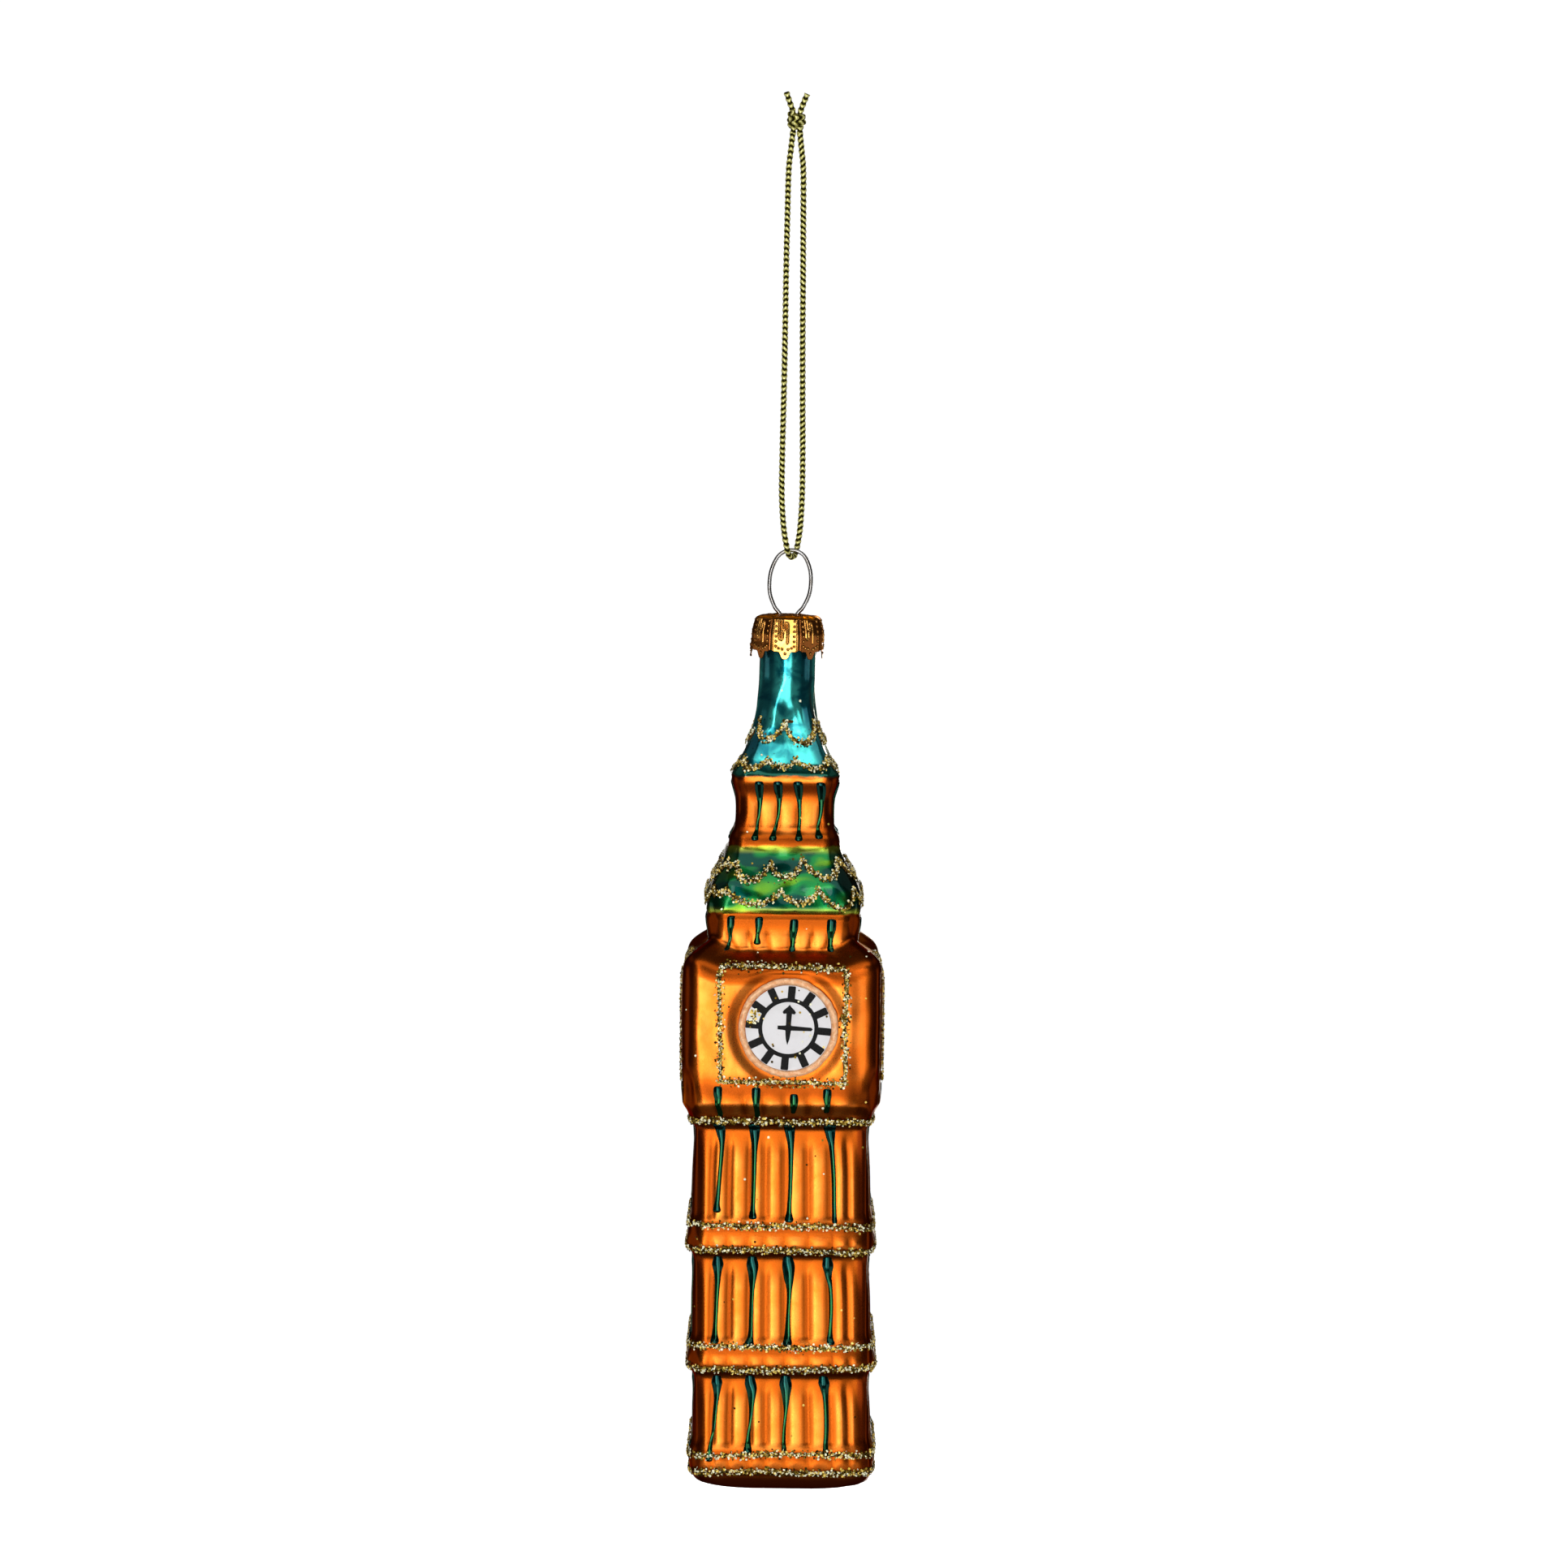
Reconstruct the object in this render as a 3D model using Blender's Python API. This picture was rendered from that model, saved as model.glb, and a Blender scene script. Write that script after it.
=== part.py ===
"""A hanging blown-glass clock tower: cord loop, wire hanger, stamped cap and hollow glass body.

Lengths are in millimetres and become metres through MM. The origin is the hang point, inside the
top of the cord loop; +Z is up and the front of the tower faces -Y.
"""

import math

import bmesh
import bpy
from mathutils import Matrix, Vector

MM = 0.001
GAP = 0.3                 # air between pieces that touch on the real ornament

# Glass body
WALL = 0.8                # thickness of the blown glass
NECK_HALF = 4.6           # outer radius of the round neck
NECK_RIM_Z = -78.9        # rim of the neck, just under the cap's plate
SHAFT_HALF = 14.75        # half width of the shaft
COURSE_HALF = 15.15       # half width of the raised string courses
CORNER = 3.0              # corner radius of the square storeys
HOUSING_HALF = 16.35      # half width of the clock housing
BOW_DEPTH = 0.75          # sideways bow of the hand-blown axis
BOW_MID_Z = -135.0
BOW_REACH = 87.0

# Cap
CAP_TURN_DEG = -4.5       # the middle tab looks a little to the left
CAP_SHEET = 0.35
CAP_TOP_Z = -78.0
HOLE_RADIUS = 0.85

# Hanger wire
WIRE_RADIUS = 0.34
WIRE_STEP = 1.3           # spacing of the points along the wire
RING_TOP_Z = -67.3        # centre of the wire at the top of the ring

# Cord
CORD_RADIUS = 0.5
CORD_STEP = 2.2           # spacing of the points along the cord

# Clock dials
DIAL_Z = -144.7
DIAL_RADIUS = 7.0
DIAL_THICKNESS = 0.4
FRONT_DIAL_SHIFT = 1.0    # the front dial sits a little to the right of the middle
RIM_INNER = 7.3
RIM_OUTER = 8.15
RIM_THICKNESS = 0.9
ROUND_STEPS = 28          # sides of a dial
FRAME_HALF_WIDTH = 10.0   # middle of the glitter frame round each dial
FRAME_HALF_HEIGHT = 9.4
FRAME_Z = -144.3
FRAME_LINE = 1.1          # width of the glitter line
GLITTER_THICKNESS = 0.7

# Height, half width and corner radius of the outside of the glass, from the neck's rim down.
SHAFT_ROWS = [(-161.3, 14.6, CORNER)]
for course_top, course_bottom in ((-177.4, -181.4), (-197.2, -201.0), (-214.6, -217.6)):
    SHAFT_ROWS += [
        (course_top + 1.5, SHAFT_HALF, CORNER),
        (course_top, COURSE_HALF, CORNER),
        (course_bottom, COURSE_HALF, CORNER),
        (course_bottom - 1.5, SHAFT_HALF, CORNER),
    ]
TOWER_ROWS = [
    (NECK_RIM_Z, NECK_HALF, NECK_HALF),
    (-89.0, 4.65, 4.65),
    (-93.0, 4.95, 4.1),
    (-96.2, 5.6, 3.4),
    (-99.4, 6.6, 2.8),
    (-102.0, 7.7, 2.5),
    (-103.6, 8.6, 2.4),
    (-104.6, 8.9, 2.4),
    (-105.7, 8.6, 2.4),
    (-107.4, 8.15, 2.4),
    (-110.5, 8.1, 2.4),
    (-113.0, 8.5, 2.4),
    (-114.5, 9.1, 2.6),
    (-116.0, 9.15, 2.6),
    (-118.2, 9.9, 2.8),
    (-120.3, 11.1, 3.0),
    (-122.4, 12.2, 3.0),
    (-124.0, 12.6, 3.0),
    (-125.8, 12.7, 3.0),
    (-127.3, 12.3, 3.0),
    (-130.6, 12.3, 3.0),
    (-132.0, 14.4, 3.0),
    (-133.2, 15.8, 3.0),
    (-134.4, 16.25, 3.0),
    (-136.0, HOUSING_HALF, 3.0),
    (-151.4, HOUSING_HALF, 3.0),
    (-152.8, 16.0, 3.0),
    (-154.6, 15.75, 3.0),
    (-158.4, 15.6, 3.0),
    (-159.8, 15.1, 3.0),
] + SHAFT_ROWS + [
    (-219.8, 14.4, 3.6),
    (-220.7, 13.9, 5.0),
    (-221.3, 12.8, 8.0),
    (-221.8, 9.6, 8.0),
    (-222.1, 4.5, 4.2),
]

# Ring of the hanger from the plate up to its top, and one spring leg down into the neck.
RING_HALF_OUTLINE = [
    (1.3, -78.2), (2.35, -76.7), (3.2, -74.7), (3.42, -72.6), (3.15, -70.4), (2.25, -68.4),
    (1.1, -67.5), (0.0, RING_TOP_Z),
]
LEG_OUTLINE = [(2.95, -93.2), (2.75, -90.0), (2.2, -85.5), (1.45, -81.2)]

# Outline of one tab of the cap: degrees from its middle, and the height of its lobed edge there.
TAB_OFFSETS = (-22.5, -14.0, -6.0, 6.0, 14.0)
TAB_EDGE = (-84.2, -84.4, -85.2, -85.2, -84.4)
# Distance from the cap's axis to the flat of a tab, and height, going down its outside and inside.
CAP_OUTSIDE = ((4.9, CAP_TOP_Z), (5.35, -78.8), (5.55, -80.0), (5.75, -82.2))
CAP_INSIDE = ((4.9, CAP_TOP_Z - CAP_SHEET), (5.4, -79.1), (5.75, -82.2))
CAP_SKIRT = 5.75

KNOT_HALF_SIZE = (1.6, 1.4, 1.75)
KNOT_Z = 3.1
TAIL_LENGTH = 4.4
TAIL_ROOT = (0.75, 0.0, 4.0)
TAIL_LEAN_DEG = 18.0

# One way round the cord loop: knot, left strand, under the ring in front and back up on the right.
CORD_ROUTE = [
    (-0.58, 0.0, 1.1), (-0.85, 0.0, -1.4), (-1.2, 0.0, -5.0), (-1.32, -0.05, -12.0),
    (-1.45, -0.1, -22.0), (-1.5, -0.2, -32.0), (-1.6, -0.35, -42.0), (-1.75, -0.6, -52.0),
    (-1.75, -1.05, -58.5), (-1.4, -1.6, -63.5), (-0.95, -1.85, -66.3), (-0.6, -1.2, -67.85),
    (0.0, 0.0, -68.4), (0.6, 1.2, -67.85), (0.95, 1.85, -66.3), (1.35, 1.6, -63.5),
    (1.6, 1.05, -58.5), (1.62, 0.6, -52.0), (1.5, 0.35, -42.0), (1.4, 0.2, -32.0),
    (1.35, 0.1, -22.0), (1.28, 0.05, -12.0), (1.2, 0.0, -5.0), (0.85, 0.0, -1.4),
    (0.58, 0.0, 1.1),
]

BAND_LEVELS = {
    "glitter_band_housing_foot": -160.3,
    "glitter_band_upper_shaft": -177.5,
    "glitter_band_upper_course": -181.3,
    "glitter_band_middle_shaft": -197.3,
    "glitter_band_middle_course": -200.9,
    "glitter_band_lower_shaft": -215.2,
    "glitter_band_base": -218.1,
}
# Name: peak height, valley height, scallops on each face.
SWAGS = {
    "glitter_swag_spire_upper": (-95.4, -98.6, 2),
    "glitter_swag_spire_lower": (-101.4, -103.0, 3),
    "glitter_swag_roof_upper": (-117.9, -120.9, 3),
    "glitter_swag_roof_lower": (-122.4, -124.9, 3),
}
SIDES = {"front": 0.0, "right": 90.0, "back": 180.0, "left": 270.0}

QUARTER = math.pi / 2
CORNER_ANGLES = [math.radians(angle) for angle in (0, 20, 38, 45, 52, 70)]
SECTION_ANGLES = [quarter * QUARTER + angle for quarter in range(4) for angle in CORNER_ANGLES]


def bow(z):
    """Sideways shift of the tower's axis at a height."""
    return -BOW_DEPTH * (1.0 - ((z - BOW_MID_Z) / BOW_REACH) ** 2)


SWING_PIVOT = Vector((0.0, 0.0, RING_TOP_Z))
TILT_PIVOT = Vector((bow(CAP_TOP_Z), 0.0, CAP_TOP_Z - CAP_SHEET / 2))


def clear_scene():
    for obj in list(bpy.data.objects):
        bpy.data.objects.remove(obj, do_unlink=True)


def make_material(name, colour, roughness, metallic):
    material = bpy.data.materials.new(name)
    material.use_nodes = True
    shader = material.node_tree.nodes["Principled BSDF"]
    shader.inputs["Base Color"].default_value = (*colour, 1.0)
    shader.inputs["Roughness"].default_value = roughness
    shader.inputs["Metallic"].default_value = metallic
    return material


def make_empty(name, place, parent=None):
    """An empty on a joint's axis; place is in the tower's own millimetres."""
    empty = bpy.data.objects.new(name, None)
    empty["place"] = list(place)
    empty.parent = parent
    empty.location = (Vector(place) - origin_of(parent)) * MM
    bpy.context.collection.objects.link(empty)
    return empty


def origin_of(parent):
    return Vector(parent["place"]) if parent else Vector()


def add_object(name, data, material, parent=None):
    """Link an object whose data is in metres from its parent's place."""
    data.materials.append(material)
    obj = bpy.data.objects.new(name, data)
    obj.parent = parent
    bpy.context.collection.objects.link(obj)
    return obj


def finish_mesh(name, mesh_editor, material, parent=None, sharp_deg=35.0):
    """Make an object of a mesh drawn in the tower's millimetres."""
    bmesh.ops.recalc_face_normals(mesh_editor, faces=mesh_editor.faces)
    mesh_editor.transform(Matrix.Scale(MM, 4) @ Matrix.Translation(-origin_of(parent)))
    mesh = bpy.data.meshes.new(name)
    mesh_editor.to_mesh(mesh)
    mesh_editor.free()
    mesh.shade_smooth()
    mesh.set_sharp_from_angle(angle=math.radians(sharp_deg))
    return add_object(name, mesh, material, parent)


def smooth_route(points, step):
    """Points about one step apart on a Catmull-Rom curve through the given points."""
    places = [Vector(point) for point in points]
    padded = [2 * places[0] - places[1]] + places + [2 * places[-1] - places[-2]]
    route = []
    for index in range(len(places) - 1):
        before, start, end, after = padded[index:index + 4]
        pieces = max(1, round((end - start).length / step))
        for piece in range(pieces):
            t = piece / pieces
            route.append(0.5 * (2 * start + (end - before) * t
                                + (2 * before - 5 * start + 4 * end - after) * t * t
                                + (3 * start - before - 3 * end + after) * t ** 3))
    return route + [places[-1]]


def add_tube(name, points, radius, material, parent=None):
    curve = bpy.data.curves.new(name, "CURVE")
    curve.dimensions = "3D"
    curve.bevel_depth = radius * MM
    curve.bevel_resolution = 2
    curve.use_fill_caps = True
    spline = curve.splines.new("POLY")
    spline.points.add(len(points) - 1)
    for point, place in zip(spline.points, points):
        point.co = (*((place - origin_of(parent)) * MM), 1.0)
    spline.use_smooth = True
    return add_object(name, curve, material, parent)


def section_radius(angle, half, corner):
    """Distance from the axis to the edge of a square with rounded corners."""
    turn = angle % QUARTER
    turn = min(turn, QUARTER - turn)
    centre = half - corner
    if half * math.tan(turn) <= centre:
        return half / math.cos(turn)
    reach = centre * (math.cos(turn) + math.sin(turn))
    return reach + math.sqrt(reach ** 2 - 2 * centre ** 2 + corner ** 2)


def tower_at(z):
    """Half width and corner radius of the glass at a height."""
    for upper, lower in zip(TOWER_ROWS, TOWER_ROWS[1:]):
        if z >= lower[0]:
            share = (upper[0] - z) / (upper[0] - lower[0])
            return [a + (b - a) * share for a, b in zip(upper[1:], lower[1:])]
    return list(TOWER_ROWS[-1][1:])


def tower_point(angle, z, outwards):
    """A point outside (or, below zero, inside) the glass, measured square to the faces."""
    half, corner = tower_at(z)
    radius = section_radius(angle, half + outwards, max(corner + outwards, 0.3))
    return Vector((bow(z) + radius * math.cos(angle), radius * math.sin(angle), z))


def add_ring(mesh_editor, points):
    return [mesh_editor.verts.new(point) for point in points]


def bridge(mesh_editor, upper, lower):
    count = len(upper)
    for index in range(count):
        after = (index + 1) % count
        mesh_editor.faces.new((upper[index], upper[after], lower[after], lower[index]))


def close_fan(mesh_editor, ring, centre):
    tip = mesh_editor.verts.new(centre)
    for index in range(len(ring)):
        mesh_editor.faces.new((ring[index], ring[(index + 1) % len(ring)], tip))


def build_glass(material, parent):
    """The hollow tower: one skin outside, one inside, joined round the open rim of the neck."""
    mesh_editor = bmesh.new()
    rims = []
    for depth, floor_z in ((0.0, TOWER_ROWS[-1][0]), (WALL, TOWER_ROWS[-1][0] + WALL)):
        rings = []
        heights = [row[0] for row in TOWER_ROWS if row[0] > floor_z] + [floor_z]
        for z in heights:
            rings.append(add_ring(mesh_editor, [tower_point(angle, z, -depth) for angle in SECTION_ANGLES]))
        for upper, lower in zip(rings, rings[1:]):
            bridge(mesh_editor, upper, lower)
        close_fan(mesh_editor, rings[-1], (bow(floor_z), 0.0, floor_z))
        rims.append(rings[0])
    bridge(mesh_editor, rims[0], rims[1])
    return finish_mesh("glass_body", mesh_editor, material, parent)


def cap_ring(apothem, heights):
    """One ring of the eight-sided cap; heights gives z at each place across a tab."""
    points = []
    for tab in range(8):
        for offset, z in heights:
            angle = math.radians(CAP_TURN_DEG - 90.0 + tab * 45.0 + offset)
            radius = apothem / math.cos(math.radians(offset))
            points.append((bow(CAP_TOP_Z) + radius * math.cos(angle), radius * math.sin(angle), z))
    return points


def build_cap(material, parent):
    """A crown stamped from sheet: a plate with two holes, and eight flat tabs with lobed ends."""
    edge = list(zip(TAB_OFFSETS, TAB_EDGE))
    mesh_editor = bmesh.new()
    outside = [cap_ring(reach, [(offset, z) for offset in TAB_OFFSETS]) for reach, z in CAP_OUTSIDE]
    outside.append(cap_ring(CAP_SKIRT, edge))
    inside = [cap_ring(reach - CAP_SHEET, [(offset, z) for offset in TAB_OFFSETS])
              for reach, z in CAP_INSIDE]
    inside.append(cap_ring(CAP_SKIRT - CAP_SHEET, edge))
    rings = [add_ring(mesh_editor, points) for points in outside + inside[::-1]]
    for upper, lower in zip(rings, rings[1:]):
        bridge(mesh_editor, upper, lower)
    close_fan(mesh_editor, rings[0], (bow(CAP_TOP_Z), 0.0, CAP_TOP_Z))
    close_fan(mesh_editor, rings[-1], (bow(CAP_TOP_Z), 0.0, CAP_TOP_Z - CAP_SHEET))
    cap = finish_mesh("cap", mesh_editor, material, parent)
    for side in (-1, 1):
        cutter_mesh = bmesh.new()
        place = (bow(CAP_TOP_Z) + side * RING_HALF_OUTLINE[0][0], 0.0, CAP_TOP_Z)
        bmesh.ops.create_cone(cutter_mesh, cap_ends=True, segments=12, radius1=HOLE_RADIUS,
                              radius2=HOLE_RADIUS, depth=3.0, matrix=Matrix.Translation(place))
        cutter = finish_mesh("hole_cutter", cutter_mesh, material, parent)
        cutter.hide_render = True
        cutter.display_type = "WIRE"
        cut = cap.modifiers.new("hanger_hole", "BOOLEAN")
        cut.operation = "DIFFERENCE"
        cut.object = cutter
    return cap


def build_hanger(material, parent):
    """One bent wire: leg, ring and leg, leaning with the tower's axis."""
    half = LEG_OUTLINE + RING_HALF_OUTLINE
    outline = half + [(-x, z) for x, z in half[-2::-1]]
    lean = bow(CAP_TOP_Z)
    points = [(x + lean * min(1.0, (RING_TOP_Z - z) / (RING_TOP_Z - CAP_TOP_Z)), 0.0, z)
              for x, z in outline]
    return add_tube("hanger_wire", smooth_route(points, WIRE_STEP), WIRE_RADIUS, material, parent)


def build_cord(cord_material):
    """The loop of cord and the knot that closes it, with two short tails."""
    add_tube("hanging_cord", smooth_route(CORD_ROUTE, CORD_STEP), CORD_RADIUS, cord_material)
    ball = bmesh.new()
    place = Matrix.Translation((0.0, 0.0, KNOT_Z)) @ Matrix.Diagonal((*KNOT_HALF_SIZE, 1.0))
    bmesh.ops.create_uvsphere(ball, u_segments=16, v_segments=10, radius=1.0, matrix=place)
    knot = finish_mesh("cord_knot", ball, cord_material, sharp_deg=80.0)
    for side in (-1, 1):
        tail = bmesh.new()
        root = Vector((side * TAIL_ROOT[0], TAIL_ROOT[1], TAIL_ROOT[2]))
        lean = Matrix.Rotation(math.radians(side * TAIL_LEAN_DEG), 4, "Y")
        place = Matrix.Translation(root) @ lean @ Matrix.Translation((0.0, 0.0, TAIL_LENGTH / 2))
        bmesh.ops.create_cone(tail, cap_ends=True, segments=10, radius1=CORD_RADIUS,
                              radius2=CORD_RADIUS, depth=TAIL_LENGTH, matrix=place)
        cutter = finish_mesh("tail", tail, cord_material)
        cutter.hide_render = True
        cutter.display_type = "WIRE"
        join = knot.modifiers.new("tail", "BOOLEAN")
        join.operation = "UNION"
        join.object = cutter


def build_loop(name, level, half_height, angles, material, parent):
    """A closed line of glitter round the tower; level gives its height at an angle."""
    mesh_editor = bmesh.new()
    rings = []
    crown = GAP + GLITTER_THICKNESS
    for raised, outwards in ((1, GAP), (1, crown), (-1, crown), (-1, GAP)):
        rings.append(add_ring(mesh_editor, [
            tower_point(angle, level(angle) + raised * half_height, outwards) for angle in angles]))
    for upper, lower in zip(rings, rings[1:] + rings[:1]):
        bridge(mesh_editor, upper, lower)
    return finish_mesh(name, mesh_editor, material, parent)


def scallop_level(peak, valley, count):
    """Height of a festoon with count scallops on each face, peaks on the corners."""
    def level(angle):
        turn = (angle + QUARTER / 2) % QUARTER
        across = 0.5 + 0.5 * math.tan(turn - QUARTER / 2)
        share = (across * count) % 1.0
        return peak + (valley - peak) * math.sin(math.pi * share) ** 0.8
    return level


def face_matrix(turn_deg, across, out, z):
    """Places a shape made in the XZ plane, facing -Y, on one of the four faces."""
    spin = Matrix.Rotation(math.radians(turn_deg), 4, "Z")
    return Matrix.Translation((bow(z), 0.0, z)) @ spin @ Matrix.Translation((across, -out, 0.0))


def build_dial(side, turn_deg, across, material, parent):
    mesh_editor = bmesh.new()
    place = face_matrix(turn_deg, across, HOUSING_HALF + GAP + DIAL_THICKNESS / 2, DIAL_Z)
    bmesh.ops.create_cone(mesh_editor, cap_ends=True, segments=ROUND_STEPS, radius1=DIAL_RADIUS,
                          radius2=DIAL_RADIUS, depth=DIAL_THICKNESS,
                          matrix=place @ Matrix.Rotation(QUARTER, 4, "X"))
    finish_mesh("dial_" + side, mesh_editor, material, parent)


def build_rim(side, turn_deg, across, material, parent):
    """A ring round the dial, with a slightly crowned front."""
    mesh_editor = bmesh.new()
    base = HOUSING_HALF + GAP
    middle = (RIM_INNER + RIM_OUTER) / 2
    profile = ((RIM_INNER, base), (RIM_INNER, base + RIM_THICKNESS * 0.75), (middle, base + RIM_THICKNESS),
               (RIM_OUTER, base + RIM_THICKNESS * 0.6), (RIM_OUTER, base))
    rings = []
    for radius, out in profile:
        place = face_matrix(turn_deg, across, out, DIAL_Z)
        angles = [step * math.tau / ROUND_STEPS for step in range(ROUND_STEPS)]
        rings.append(add_ring(mesh_editor, [
            place @ Vector((radius * math.cos(angle), 0.0, radius * math.sin(angle))) for angle in angles]))
    for upper, lower in zip(rings, rings[1:] + rings[:1]):
        bridge(mesh_editor, upper, lower)
    finish_mesh("dial_rim_" + side, mesh_editor, material, parent)


def build_frame(side, turn_deg, material, parent):
    """The square line of glitter round a dial."""
    mesh_editor = bmesh.new()
    base = HOUSING_HALF + GAP
    rings = []
    for grow, out in ((-1, base), (-1, base + GLITTER_THICKNESS), (1, base + GLITTER_THICKNESS), (1, base)):
        half_width = FRAME_HALF_WIDTH + grow * FRAME_LINE / 2
        half_height = FRAME_HALF_HEIGHT + grow * FRAME_LINE / 2
        place = face_matrix(turn_deg, 0.0, out, FRAME_Z)
        rings.append(add_ring(mesh_editor, [
            place @ Vector((right * half_width, 0.0, up * half_height))
            for right, up in ((-1, -1), (1, -1), (1, 1), (-1, 1))]))
    for upper, lower in zip(rings, rings[1:] + rings[:1]):
        bridge(mesh_editor, upper, lower)
    finish_mesh("glitter_frame_" + side, mesh_editor, material, parent)


def main():
    clear_scene()
    lacquer = make_material("lacquered_glass", (0.62, 0.2, 0.03), 0.32, 1.0)
    cap_metal = make_material("cap_metal", (0.72, 0.42, 0.16), 0.3, 1.0)
    steel = make_material("hanger_steel", (0.7, 0.7, 0.72), 0.18, 1.0)
    cord_thread = make_material("cord_thread", (0.42, 0.33, 0.05), 0.4, 0.6)
    dial_paper = make_material("dial_paper", (0.68, 0.66, 0.66), 0.25, 0.0)
    copper_paint = make_material("copper_paint", (0.6, 0.32, 0.17), 0.4, 0.8)
    glitter = make_material("gold_glitter", (0.5, 0.42, 0.12), 0.3, 0.9)

    swing = make_empty("swing_axis", SWING_PIVOT)
    tilt = make_empty("tilt_axis", TILT_PIVOT, swing)

    build_cord(cord_thread)
    build_hanger(steel, swing)
    build_cap(cap_metal, tilt)
    build_glass(lacquer, tilt)
    for name, z in BAND_LEVELS.items():
        build_loop(name, lambda angle, z=z: z, 0.6, SECTION_ANGLES, glitter, tilt)
    halfway = [(a + b) / 2 for a, b in zip(SECTION_ANGLES, SECTION_ANGLES[1:] + [math.tau])]
    fine_angles = sorted(SECTION_ANGLES + halfway)
    for name, (peak, valley, count) in SWAGS.items():
        build_loop(name, scallop_level(peak, valley, count), 0.55, fine_angles, glitter, tilt)
    for side, turn_deg in SIDES.items():
        across = FRONT_DIAL_SHIFT if side == "front" else 0.0
        build_dial(side, turn_deg, across, dial_paper, tilt)
        build_rim(side, turn_deg, across, copper_paint, tilt)
        build_frame(side, turn_deg, glitter, tilt)


main()
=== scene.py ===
"""A hanging glass clock tower, dressed for its studio picture: one piece for each part that shows.

Shapes are drawn in millimetres in the CAD's frame and become metres when their mesh is made. The
tower's axis bows sideways, so "across" means the distance from that axis along a face.
"""
import math
import random

import bpy
from mathutils import Matrix, Vector, noise


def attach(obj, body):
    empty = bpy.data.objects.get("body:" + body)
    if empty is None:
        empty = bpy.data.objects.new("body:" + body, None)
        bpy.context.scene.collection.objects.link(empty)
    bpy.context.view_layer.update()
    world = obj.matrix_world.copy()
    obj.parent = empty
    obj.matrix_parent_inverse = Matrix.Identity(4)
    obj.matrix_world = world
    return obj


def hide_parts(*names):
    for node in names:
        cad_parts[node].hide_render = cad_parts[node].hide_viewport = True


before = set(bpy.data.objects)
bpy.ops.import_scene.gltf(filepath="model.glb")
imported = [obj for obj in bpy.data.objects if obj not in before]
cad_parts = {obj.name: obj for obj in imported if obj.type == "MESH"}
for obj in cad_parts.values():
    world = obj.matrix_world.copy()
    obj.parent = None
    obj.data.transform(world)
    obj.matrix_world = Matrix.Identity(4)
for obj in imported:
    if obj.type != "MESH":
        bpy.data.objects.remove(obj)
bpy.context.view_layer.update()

MM = 0.001
QUARTER = math.pi / 2
SIDES = ("front", "right", "back", "left")

# ---------------------------------------------------------------- the tower's measures

WALL = 0.8
BOW_DEPTH = 0.75
BOW_MID_Z = -135.0
BOW_REACH = 87.0
HOUSING_HALF = 16.35
NECK_RIM_Z = -78.9
CAP_TOP_Z = -78.0
SHAFT_TOP_Z = -161.0
FOOT_TOP_Z = -154.0
PANEL_TOP_Z = -135.9
FRIEZE_TOP_Z = -126.8
ROOF_TOP_Z = -115.8
ROOF_FOOT_Z = -126.2
SPIRE_FOOT_Z = -104.2
NECK_FOOT_Z = -88.0
DIAL_Z = -144.7
DIAL_SHIFT = (1.0, 0.0, 0.0, 0.0)
SHAFT_ROWS = [(-161.3, 14.6, 3.0)]
for course_top, course_bottom in ((-177.4, -181.4), (-197.2, -201.0), (-214.6, -217.6)):
    SHAFT_ROWS += [(course_top + 1.5, 14.75, 3.0), (course_top, 15.15, 3.0),
                   (course_bottom, 15.15, 3.0), (course_bottom - 1.5, 14.75, 3.0)]
TOWER_ROWS = [
    (NECK_RIM_Z, 4.6, 4.6), (-89.0, 4.65, 4.65), (-93.0, 4.95, 4.1), (-96.2, 5.6, 3.4),
    (-99.4, 6.6, 2.8), (-102.0, 7.7, 2.5), (-103.6, 8.6, 2.4), (-104.6, 8.9, 2.4),
    (-105.7, 8.6, 2.4), (-107.4, 8.15, 2.4), (-110.5, 8.1, 2.4), (-113.0, 8.5, 2.4),
    (-114.5, 9.1, 2.6), (-116.0, 9.15, 2.6), (-118.2, 9.9, 2.8), (-120.3, 11.1, 3.0),
    (-122.4, 12.2, 3.0), (-124.0, 12.6, 3.0), (-125.8, 12.7, 3.0), (-127.3, 12.3, 3.0),
    (-130.6, 12.3, 3.0), (-132.0, 14.4, 3.0), (-133.2, 15.8, 3.0), (-134.4, 16.25, 3.0),
    (-136.0, HOUSING_HALF, 3.0), (-151.4, HOUSING_HALF, 3.0), (-152.8, 16.0, 3.0),
    (-154.6, 15.75, 3.0), (-158.4, 15.6, 3.0), (-159.8, 15.1, 3.0),
] + SHAFT_ROWS + [
    (-219.8, 14.4, 3.6), (-220.7, 13.9, 5.0), (-221.3, 12.8, 8.0), (-221.8, 9.6, 8.0),
    (-222.1, 4.5, 4.2),
]


def bow(z):
    """Sideways shift of the tower's axis at a height."""
    return -BOW_DEPTH * (1.0 - ((z - BOW_MID_Z) / BOW_REACH) ** 2)


def ease(low, high, value):
    """0 below low, 1 above high, smooth between; low may be the larger."""
    share = min(1.0, max(0.0, (value - low) / (high - low)))
    return share * share * (3.0 - 2.0 * share)


def ripple(x, y, z, seed=0.0):
    """Smooth noise from about -1 to 1."""
    return noise.noise(Vector((x + 17.3 * seed, y - 9.1 * seed, z + 4.7 * seed)))


# ---------------------------------------------------------------- meshes

def new_mesh(name, points, faces, material, smooth=True):
    """An object whose points are given in millimetres."""
    mesh = bpy.data.meshes.new(name)
    mesh.from_pydata([tuple(c * MM for c in point) for point in points], [], faces)
    mesh.polygons.foreach_set("use_smooth", [smooth] * len(mesh.polygons))
    mesh.materials.append(material)
    mesh.update()
    obj = bpy.data.objects.new(name, mesh)
    bpy.context.collection.objects.link(obj)
    return obj


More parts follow.
